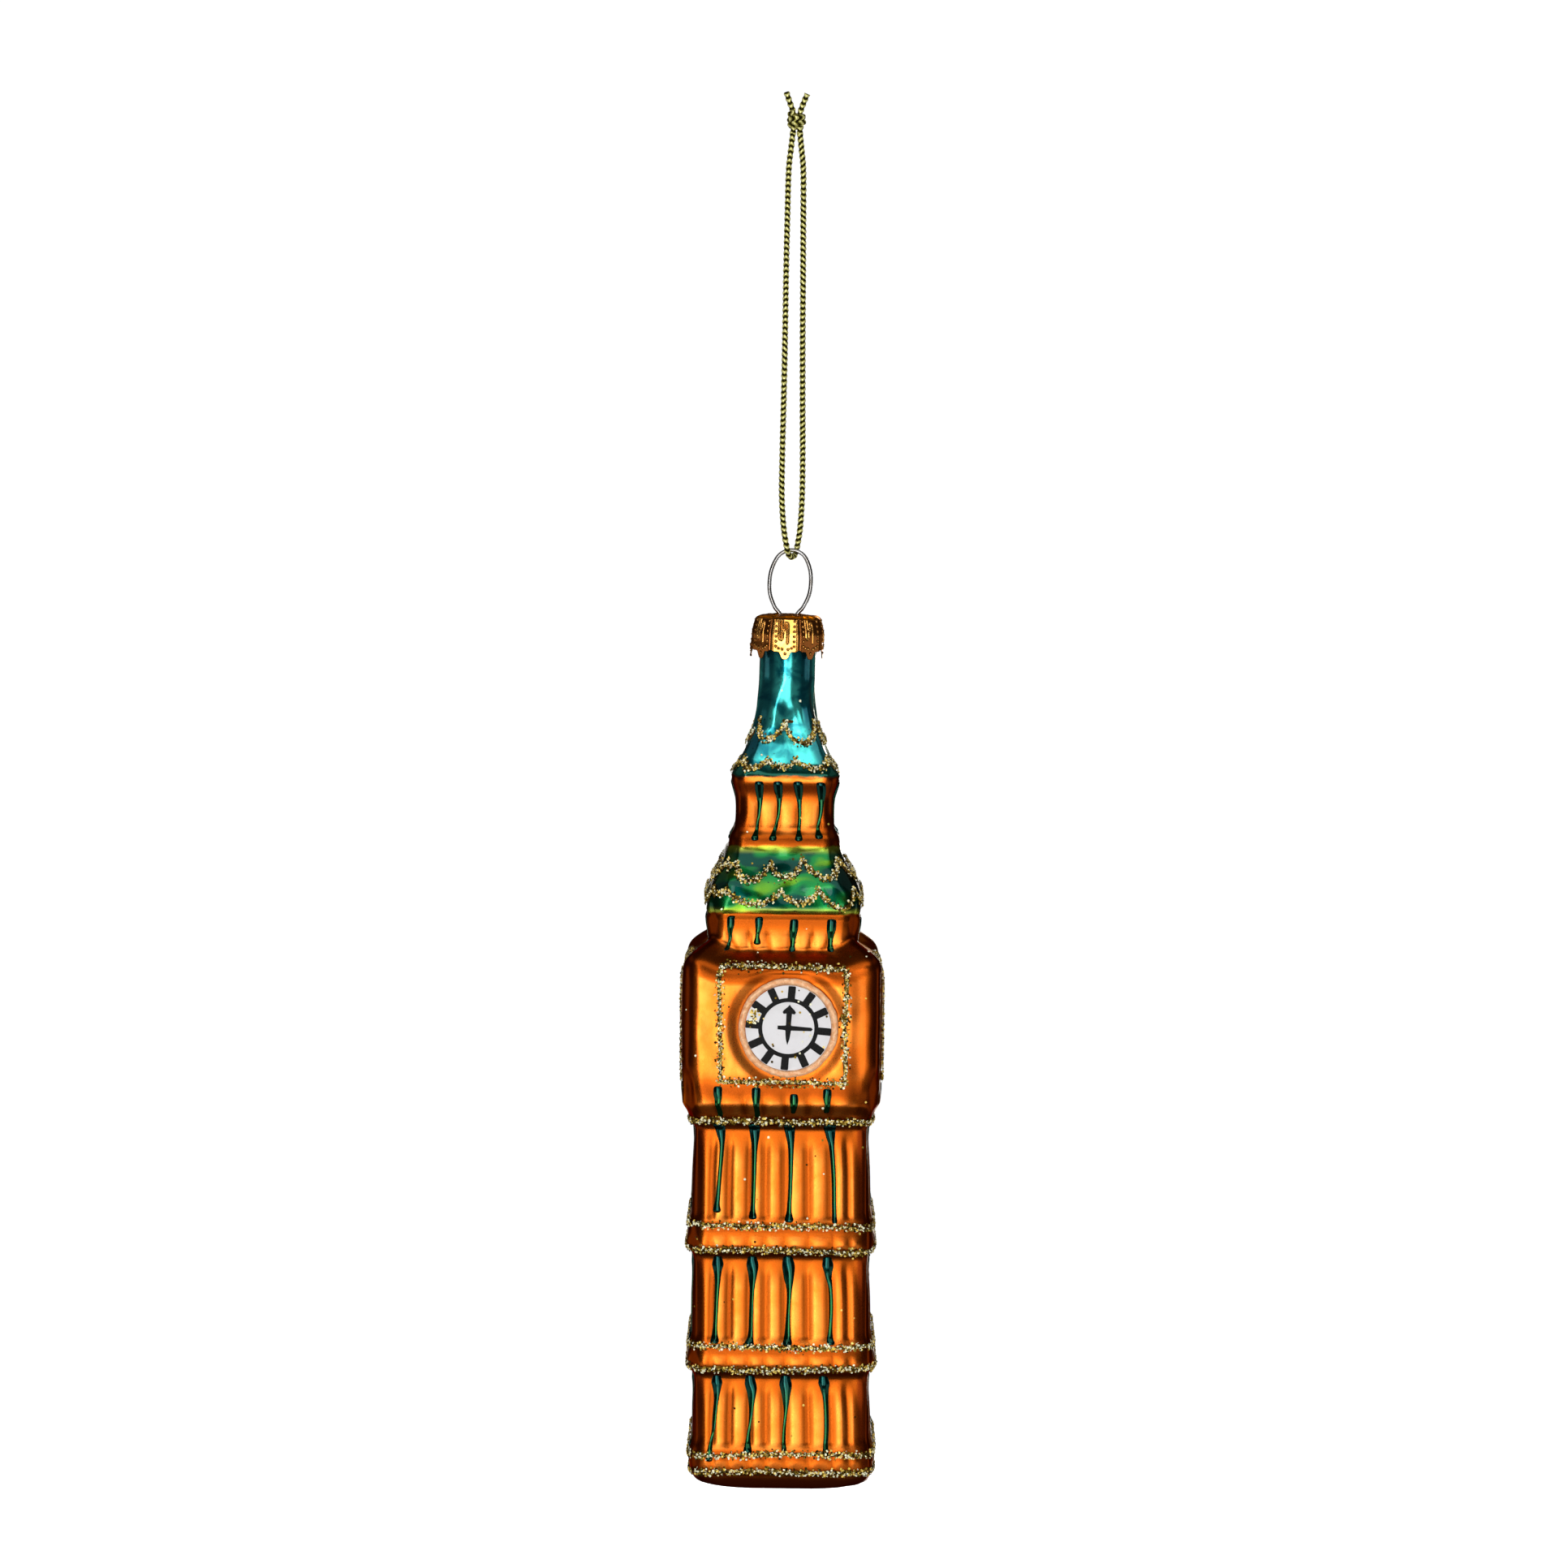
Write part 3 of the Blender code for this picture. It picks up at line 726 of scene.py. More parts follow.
def glass_paint():
    """Silvered glass under a satin orange coat, with glossy teal and green roofs and painted shade.
    """
    paint = Paint("lacquered_silver_glass", Metallic=1.0, Specular_Tint=(0.42, 0.3, 0.16))
    place = paint.place()
    height = paint.node("SeparateXYZ", {0: place}, output="Z")
    wander = paint.math("MULTIPLY_ADD", paint.noise(place, 0.5, 2.0), 0.9)
    wander.node.inputs[2].default_value = -0.45
    level = paint.math("ADD", height, wander)
    clouds = paint.between(paint.noise(place, 0.22, 3.0, 0.6), 0.35, 0.7)
    streaks = paint.noise(paint.stretch(place, (0.5, 0.5, 0.07)), 1.0, 3.0, 0.55)
    grain = paint.noise(place, 5.5, 2.0, 0.6)
    orange = paint.mix(clouds, (1.0, 0.29, 0.04), (0.93, 0.195, 0.018))
    orange = paint.mix(paint.between(streaks, 0.48, 0.72, 0.0, 0.55), orange, (0.85, 0.13, 0.008))
    # Painted shade, read from the points, darkens the orange, the teal and the green.
    depth = paint.stored("painted_shade")
    orange = paint.mix(paint.between(depth, 0.05, 0.6), orange, (0.5, 0.095, 0.006))
    orange = paint.mix(paint.between(depth, 0.5, 1.0), orange, (0.13, 0.014, 0.002))
    orange = paint.mix(paint.between(level, -217.8, -219.6), orange, (0.3, 0.042, 0.005))
    # Teal varies in random patches, and their pale end is a painted highlight.
    patches = paint.between(paint.noise(place, 0.26, 2.5, 0.55, 0.8), 0.38, 0.62)
    teal = paint.mix(patches, (0.002, 0.22, 0.27), (0.09, 0.82, 0.74))
    teal = paint.mix(paint.between(depth, 0.0, 0.9, 0.0, 0.85), teal, (0.001, 0.07, 0.1))
    teal = paint.mix(paint.between(level, -101.6, -103.8), teal, (0.002, 0.09, 0.06))
    mottle = paint.noise(paint.stretch(place, (0.17, 0.17, 0.3)), 1.0, 1.0, 0.4, 0.6)
    green = paint.mix(paint.between(mottle, 0.4, 0.54), (0.0, 0.05, 0.035), (0.006, 0.2, 0.04))
    green = paint.mix(paint.between(mottle, 0.55, 0.68), green, (0.13, 0.36, 0.015))
    green = paint.mix(paint.between(depth, 0.1, 0.9, 0.0, 0.75), green, (0.0, 0.025, 0.018))
    rim = paint.math("MAXIMUM", paint.between(height, -117.1, -115.7),
                     paint.between(height, -125.2, -126.4))
    green = paint.mix(paint.math("MULTIPLY", rim, 0.8), green, (0.45, 0.5, 0.03))
    roof = paint.math("MULTIPLY", paint.between(level, -115.5, -116.0),
                      paint.between(level, -126.6, -126.1))
    spire = paint.between(level, -104.5, -104.0)
    shade = paint.mix(spire, paint.mix(roof, orange, green), teal)
    glossy = paint.math("MAXIMUM", roof, spire)
    specks = paint.between(paint.noise(place, 2.6, 1.0, 0.4), 0.735, 0.75)
    specks = paint.math("MULTIPLY", specks, paint.between(glossy, 0.3, 0.9, 0.0, 1.0))
    shade = paint.mix(specks, shade, (0.004, 0.012, 0.012))
    satin = paint.between(grain, 0.3, 0.7, 0.27, 0.32)
    shine = paint.math("MULTIPLY_ADD", roof, 0.5)
    paint.set(shine.node, 2, spire)
    rough = paint.math("MULTIPLY_ADD", shine, -0.12)
    paint.set(rough.node, 2, satin)
    normal = paint.bump(grain, 0.004, 0.35)
    normal = paint.bump(paint.noise(place, 0.5, 2.0), 0.05, 0.15, normal)
    metal = paint.math("SUBTRACT", 1.0, paint.math("MULTIPLY", spire, 0.12))
    return paint.finish(Base_Color=shade, Roughness=rough, Normal=normal, Metallic=metal,
                        Coat_Weight=paint.math("MULTIPLY", glossy, 0.3), Coat_Roughness=0.04)


def silvering_paint():
    """The silvered inside of the glass, seen when the cap is off."""
    paint = Paint("inner_silvering", Metallic=1.0)
    place = paint.place()
    blotches = paint.noise(place, 0.5, 4.0, 0.6)
    shade = paint.mix(paint.between(blotches, 0.4, 0.7), (0.6, 0.58, 0.54), (0.3, 0.24, 0.17))
    return paint.finish(Base_Color=shade, Roughness=paint.between(blotches, 0.3, 0.8, 0.15, 0.4))


def build_glass():
    columns = 4 * FACE_COLUMNS
    turns = [4.0 * column / columns - 0.5 for column in range(columns)]
    points, lacquered_and_painted_shade = [], []
    for z, half, corner in PROFILE:
        for turn in turns:
            face, share = face_share(turn)
            points.append(skin(turn, z))
            # the painted shade of each point
            lacquered_and_painted_shade.append(painted_shade(face, 2.0 * share * half, z, half))
    faces = ring_faces(len(PROFILE), columns)
    faces += fan_faces(len(points) - columns, len(points), columns, flipped=True)
    points.append(Vector((bow(PROFILE[-1][0]), 0.0, PROFILE[-1][0] - 0.05)))
    outside, start = len(faces), len(points)
    inner_rows = [row for row in TOWER_ROWS if row[0] > TOWER_ROWS[-1][0] + 2 * WALL]
    for z, half, corner in inner_rows:
        shoulder = ease(-128.0, -131.0, z) * ease(-138.0, -135.0, z)
        depth = WALL + ease(NECK_FOOT_Z, -96.0, z) + 3.0 * shoulder
        points += [tower_point(turn, half - depth, corner - depth, z) for turn in turns]
    faces += [face[::-1] for face in ring_faces(len(inner_rows), columns, start)]
    for column in range(columns):
        after = (column + 1) % columns
        faces.append((column, after, start + after, start + column))
    faces += fan_faces(len(points) - columns, len(points), columns)
    floor_z = inner_rows[-1][0]
    points.append(Vector((bow(floor_z), 0.0, floor_z)))
    lacquered_and_painted_shade += [0.0] * (len(points) - len(lacquered_and_painted_shade))
    glass = new_mesh("tower_glass", points, faces, glass_paint())
    glass.data.materials.append(silvering_paint())
    for index in range(outside, len(faces)):
        glass.data.polygons[index].material_index = 1
    add_values(glass, "painted_shade", lacquered_and_painted_shade)
    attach(glass, "glass")
    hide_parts("glass_body")


build_glass()

# ---------------------------------------------------------------- enamel drips

# For each tier: the drips of one face, each a line of (across, height, width).
DRIPS = {
    "belfry": [
        [(-4.3, -105.5, 1.05), (-4.25, -106.6, 0.95), (-4.2, -108.6, 0.55), (-4.5, -111.3, 0.36),
         (-4.75, -113.2, 0.4), (-4.85, -114.4, 0.85)],
        [(-1.2, -105.5, 1.1), (-1.1, -106.6, 1.0), (-0.95, -108.3, 0.55), (-1.25, -111.6, 0.36),
         (-1.75, -113.4, 0.45), (-1.9, -114.4, 0.9)],
        [(2.1, -105.5, 1.15), (2.25, -106.8, 0.95), (2.4, -108.6, 0.5), (2.5, -111.5, 0.36),
         (2.4, -113.3, 0.45), (2.35, -114.4, 0.9)],
        [(5.8, -105.6, 1.1), (5.95, -106.8, 1.0), (6.0, -108.6, 0.6), (5.9, -111.3, 0.45),
         (5.8, -113.0, 0.5), (5.7, -114.0, 0.95)],
    ],
    "frieze": [
        [(-8.35, -127.2, 0.85), (-8.4, -128.4, 0.8), (-8.65, -130.0, 0.4), (-8.85, -131.5, 0.4),
         (-8.9, -132.2, 0.6)],
        [(-3.85, -127.4, 0.95), (-3.9, -128.6, 0.75), (-4.15, -130.1, 0.4), (-4.2, -131.2, 0.8)],
        [(1.75, -127.7, 0.95), (1.7, -128.8, 1.0), (1.6, -130.2, 0.75), (1.55, -131.5, 0.5),
         (1.5, -132.3, 0.75)],
        [(7.75, -127.7, 1.1), (7.75, -129.0, 1.05), (7.75, -130.5, 0.65), (7.75, -131.5, 0.6),
         (7.75, -132.2, 0.85)],
    ],
    "foot": [
        [(-10.05, -154.8, 1.0), (-10.1, -156.0, 1.0), (-10.15, -157.6, 0.65),
         (-10.1, -159.3, 0.6)],
        [(-4.0, -154.9, 1.0), (-4.0, -156.0, 0.95), (-3.95, -157.6, 0.6), (-3.9, -159.3, 0.55)],
        [(1.95, -155.9, 0.9), (1.95, -156.9, 0.95), (1.9, -158.6, 0.45)],
        [(7.2, -155.0, 0.95), (7.2, -156.0, 0.95), (7.25, -157.3, 0.6), (7.3, -158.4, 0.6)],
    ],
    "shaft_upper": [
        [(-10.3, -161.2, 1.35), (-10.1, -162.5, 1.0), (-9.9, -164.3, 0.5), (-10.0, -168.0, 0.4),
         (-10.3, -172.5, 0.42), (-10.5, -174.0, 0.6), (-10.5, -174.9, 0.9)],
        [(-4.5, -161.2, 1.4), (-4.45, -162.6, 1.1), (-4.45, -164.8, 0.6), (-4.45, -169.3, 0.42),
         (-4.6, -174.2, 0.45), (-4.65, -175.3, 0.7), (-4.65, -175.9, 0.95)],
        [(1.35, -161.2, 1.4), (1.5, -162.8, 1.0), (1.62, -165.0, 0.58), (1.55, -170.0, 0.4),
         (1.35, -174.4, 0.45), (1.3, -175.6, 0.75), (1.3, -176.3, 1.05)],
        [(8.05, -161.2, 1.5), (8.3, -162.8, 1.05), (8.5, -165.0, 0.6), (8.7, -170.0, 0.45),
         (8.75, -174.4, 0.45), (8.8, -176.6, 0.55)],
    ],
    "shaft_middle": [
        [(-10.6, -182.9, 1.0), (-10.6, -183.9, 1.35), (-10.6, -185.1, 0.9), (-10.5, -187.2, 0.5),
         (-10.65, -191.4, 0.4), (-10.85, -194.6, 0.5), (-10.9, -196.5, 1.0)],
        [(-4.8, -182.9, 1.1), (-4.8, -184.0, 1.45), (-4.8, -185.6, 1.1), (-4.8, -188.0, 0.5),
         (-4.95, -191.3, 0.45), (-5.1, -194.8, 0.6), (-5.2, -196.8, 1.1)],
        [(1.2, -182.9, 1.2), (1.25, -184.1, 1.55), (1.3, -185.8, 1.25), (1.4, -188.4, 0.5),
         (1.2, -192.0, 0.42), (1.1, -195.0, 0.7), (1.05, -196.7, 1.1)],
        [(7.8, -182.9, 1.05), (7.9, -183.9, 1.35), (8.05, -185.2, 0.95), (8.3, -187.4, 0.55),
         (8.35, -191.2, 0.48), (8.25, -194.6, 0.55), (8.2, -196.5, 0.95)],
    ],
    "shaft_lower": [
        [(-10.8, -202.6, 1.0), (-10.8, -203.4, 1.3), (-10.8, -204.4, 0.95), (-10.8, -206.2, 0.5),
         (-11.1, -209.5, 0.42), (-11.6, -213.6, 0.42), (-11.75, -215.3, 0.7),
         (-11.8, -216.0, 0.8)],
        [(-5.2, -202.6, 1.1), (-5.15, -204.0, 1.5), (-5.12, -205.4, 1.25), (-5.1, -207.9, 0.55),
         (-5.25, -210.8, 0.42), (-5.45, -213.0, 0.6), (-5.5, -214.6, 1.0)],
        [(0.75, -202.6, 1.2), (0.75, -203.8, 1.6), (0.75, -205.2, 1.25), (0.75, -207.8, 0.55),
         (0.6, -210.7, 0.42), (0.45, -213.4, 0.45), (0.45, -214.8, 0.6)],
        [(7.15, -202.6, 1.1), (7.25, -203.4, 1.35), (7.35, -204.4, 0.95), (7.5, -206.2, 0.55),
         (7.5, -210.7, 0.48), (7.3, -213.6, 0.5), (7.25, -215.0, 0.7)],
    ],
}


def drip_paint():
    """Thick glossy enamel, teal where it is thick and green where it has run thin."""
    paint = Paint("teal_enamel", Metallic=1.0, Specular_Tint=(0.05, 0.25, 0.22))
    place = paint.place()
    along = paint.stored("along")
    swirl = paint.noise(place, 0.9, 2.0)
    shade = paint.mix(paint.between(along, 0.05, 0.55), (0.0005, 0.036, 0.034), (0.012, 0.1, 0.022))
    shade = paint.mix(paint.between(along, 0.78, 0.98), shade, (0.0006, 0.022, 0.02))
    shade = paint.mix(paint.between(swirl, 0.45, 0.7, 0.0, 0.5), shade, (0.0005, 0.07, 0.06))
    return paint.finish(Base_Color=shade, Coat_Weight=0.2, Coat_Roughness=0.03,
                        Roughness=paint.between(swirl, 0.3, 0.7, 0.08, 0.2),
                        Normal=paint.bump(swirl, 0.03, 0.3))


ENAMEL = drip_paint()
DRIP_BULGE = 0.24
DRIP_SIDES = 10
# How a bead rounds off at its ends: (how far in from the tip, share of the full width).
DRIP_ENDS = [(0.02, 0.2), (0.14, 0.55), (0.34, 0.85)]


def add_drip(pile, face, line, rng):
    """A bead of enamel that lies on the glass and follows its relief."""
    lean = 0.0 if face == 0 else rng.uniform(-0.35, 0.35)
    shorter = 1.0 if face == 0 else rng.uniform(0.82, 1.0)
    top = line[0][1]
    route = smooth_route([(MIRRORED[face] * x + lean, top + (z - top) * shorter, width)
                          for x, z, width in line], 0.28)
    start, finish = route[0], route[-1]
    before = (route[0] - route[1]).normalized()
    after = (route[-1] - route[-2]).normalized()
    stations = [(p.x, p.y, p.z) for p in route]
    for inset, share in DRIP_ENDS[::-1]:
        reach = start.z * 0.5 * (1.0 - inset)
        stations.insert(0, (start.x + before.x * reach * 0.9, start.y + reach * 0.9,
                            start.z * share))
        reach = finish.z * 0.5 * (1.0 - inset)
        stations.append((finish.x + after.x * reach * 0.2, finish.y - reach, finish.z * share))
    points, values = [], []
    for index, (x, z, width) in enumerate(stations):
        turn = turn_at(face, x, z)
        normal = skin_normal(turn, z)
        centre = skin(turn, z)
        side = Vector((0, 0, 1)).cross(normal).normalized()
        half = 0.12 + 0.62 * width
        height = min(DRIP_BULGE * width + 0.05, 0.36)
        for step in range(DRIP_SIDES - 1):
            across, up = around(1.0, math.pi * step / (DRIP_SIDES - 2))
            points.append(centre + side * (half * across) + normal * (height * up - 0.04))
        points.append(centre - normal * 0.12)
        values += [index / (len(stations) - 1)] * DRIP_SIDES
    faces = ring_faces(len(stations), DRIP_SIDES) + end_faces(len(points), DRIP_SIDES)
    pile.add(points, faces, values)


def build_drips():
    rng = random.Random(11)
    for tier, lines in DRIPS.items():
        pile = Pile()
        for face in range(4):
            for line in lines:
                add_drip(pile, face, line, rng)
        drips = pile.make("enamel_drips_" + tier, ENAMEL, "along")
        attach(drips, "glass")


build_drips()

# ---------------------------------------------------------------- glitter

BAND_LEVELS = {
    "housing_foot": -160.3, "upper_shaft": -177.5, "upper_course": -181.3,
    "middle_shaft": -197.3, "middle_course": -200.9, "lower_shaft": -215.2, "base": -218.1,
}
# For each swag: (across, height) of its highs and lows along the front, how many scallops each
# other face has, and the heights of their highs and lows.
SWAGS = {
    "spire_upper": ([(-5.4, -95.1), (-2.8, -98.3), (-0.4, -95.7), (3.3, -98.9), (5.6, -95.6)], 2,
                    (-95.4, -98.6)),
    "spire_lower": ([(-7.1, -101.8), (-4.1, -103.1), (-3.1, -101.6), (-0.3, -102.95),
                     (1.7, -101.6), (4.0, -103.0), (7.3, -102.0)], 3, (-101.4, -103.0)),
    "roof_upper": ([(-7.6, -118.2), (-4.0, -121.2), (-2.2, -118.5), (-0.2, -120.7),
                    (3.0, -117.7), (6.5, -120.6), (8.8, -117.7)], 3, (-117.9, -120.9)),
    "roof_lower": ([(-9.4, -122.5), (-3.4, -124.9), (-0.4, -122.9), (2.7, -124.6), (5.8, -122.5),
                    (9.9, -125.5), (12.2, -122.8)], 3, (-122.4, -124.9)),
}


def glitter_paint():
    """Flakes of foil in random colours, dark, yellow and pale, the pale ones being painted glints.
    """
    paint = Paint("gold_glitter_flakes", Specular_Tint=(1.0, 0.85, 0.45))
    tone_and_glint = paint.stored("tone_and_glint")
    place = paint.place()
    shade = paint.mix(paint.between(tone_and_glint, 0.3, 0.36), (0.06, 0.036, 0.004), (0.42, 0.27, 0.03))
    shade = paint.mix(paint.between(tone_and_glint, 0.56, 0.62), shade, (1.0, 0.72, 0.16))
    # Painted glints: the palest flakes.
    shade = paint.mix(paint.between(tone_and_glint, 0.72, 0.78), shade, (1.0, 0.98, 0.7))
    scratch = paint.noise(place, 11.0, 2.0)
    return paint.finish(Base_Color=shade, Metallic=paint.between(tone_and_glint, 0.4, 0.7, 0.7, 0.1),
                        Roughness=paint.between(scratch, 0.3, 0.7, 0.16, 0.36))


def glue_paint():
    """The line of tinted glue that the flakes are stuck in."""
    paint = Paint("glitter_glue", Metallic=0.7)
    place = paint.place()
    crumbs = paint.node("TexVoronoi", {"Vector": place, "Scale": 5.0})
    shade = paint.mix(paint.between(crumbs, 0.1, 0.6), (0.3, 0.13, 0.02), (0.1, 0.045, 0.007))
    return paint.finish(Base_Color=shade, Roughness=paint.between(crumbs, 0.1, 0.7, 0.25, 0.5),
                        Normal=paint.bump(crumbs, 0.12, 0.9))


FLAKES = glitter_paint()
GLUE = glue_paint()
FLAKE_CORNERS = 6
FLAKE_REACH = (0.11, 0.23)
FLAKE_HALF_THICKNESS = 0.02
GLUE_SIDES = 8
BAND_WIDTH, SWAG_WIDTH, FRAME_WIDTH = 1.12, 1.15, 1.3


def add_flake(pile, centre, normal, rng, lying=0.5):
    """A thin hexagonal chip that leans at random; lying at 1 is flat on the glass."""
    lean = Vector((rng.gauss(0, 1), rng.gauss(0, 1), rng.gauss(0, 1))).normalized()
    if rng.random() < 0.4:
        lying = 0.85
    facing = (normal * lying + lean * (1.0 - lying)).normalized()
    side = facing.orthogonal().normalized()
    side.rotate(Matrix.Rotation(rng.uniform(0, math.tau), 3, facing))
    other = facing.cross(side)
    size = rng.uniform(*FLAKE_REACH)
    points = []
    for level in (FLAKE_HALF_THICKNESS, -FLAKE_HALF_THICKNESS):
        for corner in range(FLAKE_CORNERS):
            x, y = around(size, math.tau * corner / FLAKE_CORNERS)
            points.append(centre + facing * level + side * x + other * y)
    n = FLAKE_CORNERS
    faces = [tuple(range(n)), tuple(range(2 * n - 1, n - 1, -1))]
    faces += [(c, n + c, n + (c + 1) % n, (c + 1) % n) for c in range(n)]
    # A random value for the flake: its colour, with painted glints at the top end.
    pile.add(points, faces, [rng.random()] * (2 * n))


def add_glue(pile, line, width):
    """A low lumpy bead along a closed line of (turn, height) places."""
    points = []
    for index, (turn, z) in enumerate(line):
        here, normal = skin(turn, z), skin_normal(turn, z)
        along = skin(*line[(index + 1) % len(line)]) - skin(*line[index - 1])
        across = normal.cross(along).normalized()
        lump = 1.0 + 0.7 * ripple(here.x * 1.3, here.y * 1.3, z * 1.3, 6.0)
        for step in range(GLUE_SIDES - 1):
            x, y = around(lump, math.pi * step / (GLUE_SIDES - 2))
            points.append(here + across * (width / 2 * x) + normal * (0.1 * y - 0.03))
        points.append(here - normal * 0.1)
    pile.add(points, loop_faces(len(line), GLUE_SIDES), [0.3] * len(points))


def fill_line(line, step):
    """Places a step apart along a closed line of (turn, height) places."""
    result = []
    for (turn, z), (next_turn, next_z) in zip(line, line[1:] + line[:1]):
        length = (skin(next_turn, next_z) - skin(turn, z)).length
        pieces = max(1, round(length / step))
        for piece in range(pieces):
            share = piece / pieces
            result.append((turn + (next_turn - turn) * share, z + (next_z - z) * share))
    return result


def build_glitter(name, line, width, seed, density=21.0):
    """The glue line with its flakes, in place of one CAD node; density is flakes per millimetre."""
    rng = random.Random(seed)
    pile = Pile()
    step = 0.3
    fine = fill_line(line, step)
    add_glue(pile, fine, width * 0.5)
    glue_faces = len(pile.faces)
    for turn, z in fine:
        for _ in range(int(density * step) + (rng.random() < density * step % 1.0)):
            spread = rng.gauss(0.0, 0.3) * width
            spread = max(-0.62 * width, min(0.62 * width, spread))
            here_turn = turn + rng.uniform(-0.2, 0.2) / (2.0 * tower_at(z)[0])
            here_z = z + spread
            if name.startswith("glitter_frame") and rng.random() < 0.5:
                here_z = z + rng.uniform(-0.2, 0.2)
                here_turn = turn + spread / (2.0 * HOUSING_HALF)
            dome = 0.2 * math.sqrt(max(0.0, 1.0 - (spread / (0.6 * width)) ** 2))
            here = skin(here_turn, here_z)
            normal = skin_normal(here_turn, here_z)
            add_flake(pile, here + normal * (0.05 + dome + rng.uniform(0.0, 0.12)), normal, rng)
    obj = pile.make(name + "_line", FLAKES, "tone_and_glint", smooth=False)
    obj.data.materials.append(GLUE)
    for index in range(glue_faces):
        obj.data.polygons[index].material_index = 1
        obj.data.polygons[index].use_smooth = True
    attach(obj, "glass")
    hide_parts(name)


def wandering_ring(level, seed):
    """A line round the tower that a hand has drawn, so it wanders a little."""
    line = []
    for step in range(120):
        turn = 4.0 * step / 120 - 0.5
        swing = math.tau * step / 120
        z = level + 0.16 * math.sin(2.0 * swing + seed) + 0.1 * math.sin(5.0 * swing + 2.0 * seed)
        line.append((turn, z))
    return line


def swag_line(front, count, levels):
    """Scallops round the tower: drawn ones on the front, regular ones on the other faces."""
    high, low = levels
    line = []

    def scallop(start, end, dip):
        """A hanging curve from one high place to the next."""
        for step in range(8):
            share = step / 8
            sag = math.sin(math.pi * share) ** 0.75
            turn = start[0] + (end[0] - start[0]) * share
            z = start[1] + (end[1] - start[1]) * share
            line.append((turn, z + (dip - (start[1] + end[1]) / 2) * sag))
    peaks = [(turn_at(0, x, z), z) for x, z in front[::2]]
    dips = [z for x, z in front[1::2]]
    for start, end, dip in zip(peaks, peaks[1:], dips):
        scallop(start, end, dip)
    left, right = peaks[0], peaks[-1]
    around = [right]
    for face in (1, 2, 3):
        for part in range(count + (face == 3)):
            around.append((face - 0.5 + part / count, high + 0.25 * math.sin(3.0 * face + part)))
    around.append((left[0] + 4.0, left[1]))
    for start, end in zip(around, around[1:]):
        if end[0] - start[0] > 0.02:
            depth = (low - high) * min(1.0, (end[0] - start[0]) * count)
            scallop(start, end, (start[1] + end[1]) / 2 + depth)
    return line


def build_all_glitter():
    for index, (name, level) in enumerate(BAND_LEVELS.items()):
        build_glitter("glitter_band_" + name, wandering_ring(level, index), BAND_WIDTH, 20 + index)
    for index, (name, drawing) in enumerate(SWAGS.items()):
        build_glitter("glitter_swag_" + name, swag_line(*drawing), SWAG_WIDTH, 40 + index)
    for face, side in enumerate(SIDES):
        left, right = (-9.75, 10.15) if face == 0 else (-10.0, 10.0)
        top, bottom = -134.95, -153.6
        corners = [(left, top + 0.2), (right, top - 0.25), (right - 0.15, bottom - 0.15),
                   (left + 0.1, bottom)]
        line = [(turn_at(face, x, z), z) for x, z in corners]
        build_glitter("glitter_frame_" + side, line, FRAME_WIDTH, 60 + face, density=26.0)


build_all_glitter()

# ---------------------------------------------------------------- clocks

DIAL_RADIUS = 7.0
DIAL_BASE = HOUSING_HALF - 0.25
CARD_THICKNESS = 0.4


def face_place(face, across, out, z):
    """Turns a shape drawn in XZ and facing -Y onto one of the four faces."""
    return (Matrix.Translation((bow(DIAL_Z), 0.0, 0.0)) @ Matrix.Rotation(QUARTER * face, 4, "Z")
            @ Matrix.Translation((across, -out, z)))


def disc_parts(radius_rows, steps):
    """A closed turned shape from (radius, forward) rows, back to front."""
    points = []
    for radius, forward in radius_rows:
        for step in range(steps):
            x, z = around(radius, math.tau * step / steps)
            points.append(Vector((x, -forward, z)))
    return points, ring_faces(len(radius_rows), steps) + end_faces(len(points), steps)


def plate_parts(outline, back, front):
    """A flat shape with a thickness from its outline in XZ, drawn anticlockwise."""
    n = len(outline)
    points = [Vector((x, -back, z)) for x, z in outline]
    points += [Vector((x, -front, z)) for x, z in outline]
    faces = [tuple(range(n))[::-1], tuple(range(n, 2 * n))]
    faces += [(c, (c + 1) % n, n + (c + 1) % n, n + c) for c in range(n)]
    return points, faces


def band_outline(inner, outer, start, end, steps=3):
    """Part of a ring between two angles, clockwise from the top, in degrees."""
    angles = [math.radians(start + (end - start) * k / steps) for k in range(steps + 1)]
    outside = [(outer * math.sin(a), outer * math.cos(a)) for a in angles]
    inside = [(inner * math.sin(a), inner * math.cos(a)) for a in angles]
    return inside + outside[::-1]


def dial_paint():
    paint = Paint("glossy_dial_card")
    place = paint.place()
    fibres = paint.noise(place, 3.0, 4.0)
    stain = paint.between(paint.noise(place, 0.35, 2.0), 0.4, 0.75)
    shade = paint.mix(stain, (0.76, 0.745, 0.76), (0.7, 0.685, 0.695))
    shade = paint.mix(paint.between(fibres, 0.55, 0.8, 0.0, 0.2), shade, (0.6, 0.58, 0.58))
    return paint.finish(Base_Color=shade, Normal=paint.bump(fibres, 0.01, 0.25),
                        Roughness=paint.between(fibres, 0.3, 0.7, 0.12, 0.26), Coat_Weight=0.5,
                        Coat_Roughness=0.05)


def ink_paint():
    paint = Paint("black_dial_print", Specular_IOR_Level=0.08)
    place = paint.place()
    dust = paint.noise(place, 4.0, 3.0)
    shade = paint.mix(paint.between(dust, 0.5, 0.8, 0.0, 0.5), (0.003, 0.003, 0.003),
                      (0.015, 0.013, 0.011))
    return paint.finish(Base_Color=shade, Roughness=paint.between(dust, 0.3, 0.7, 0.16, 0.34))


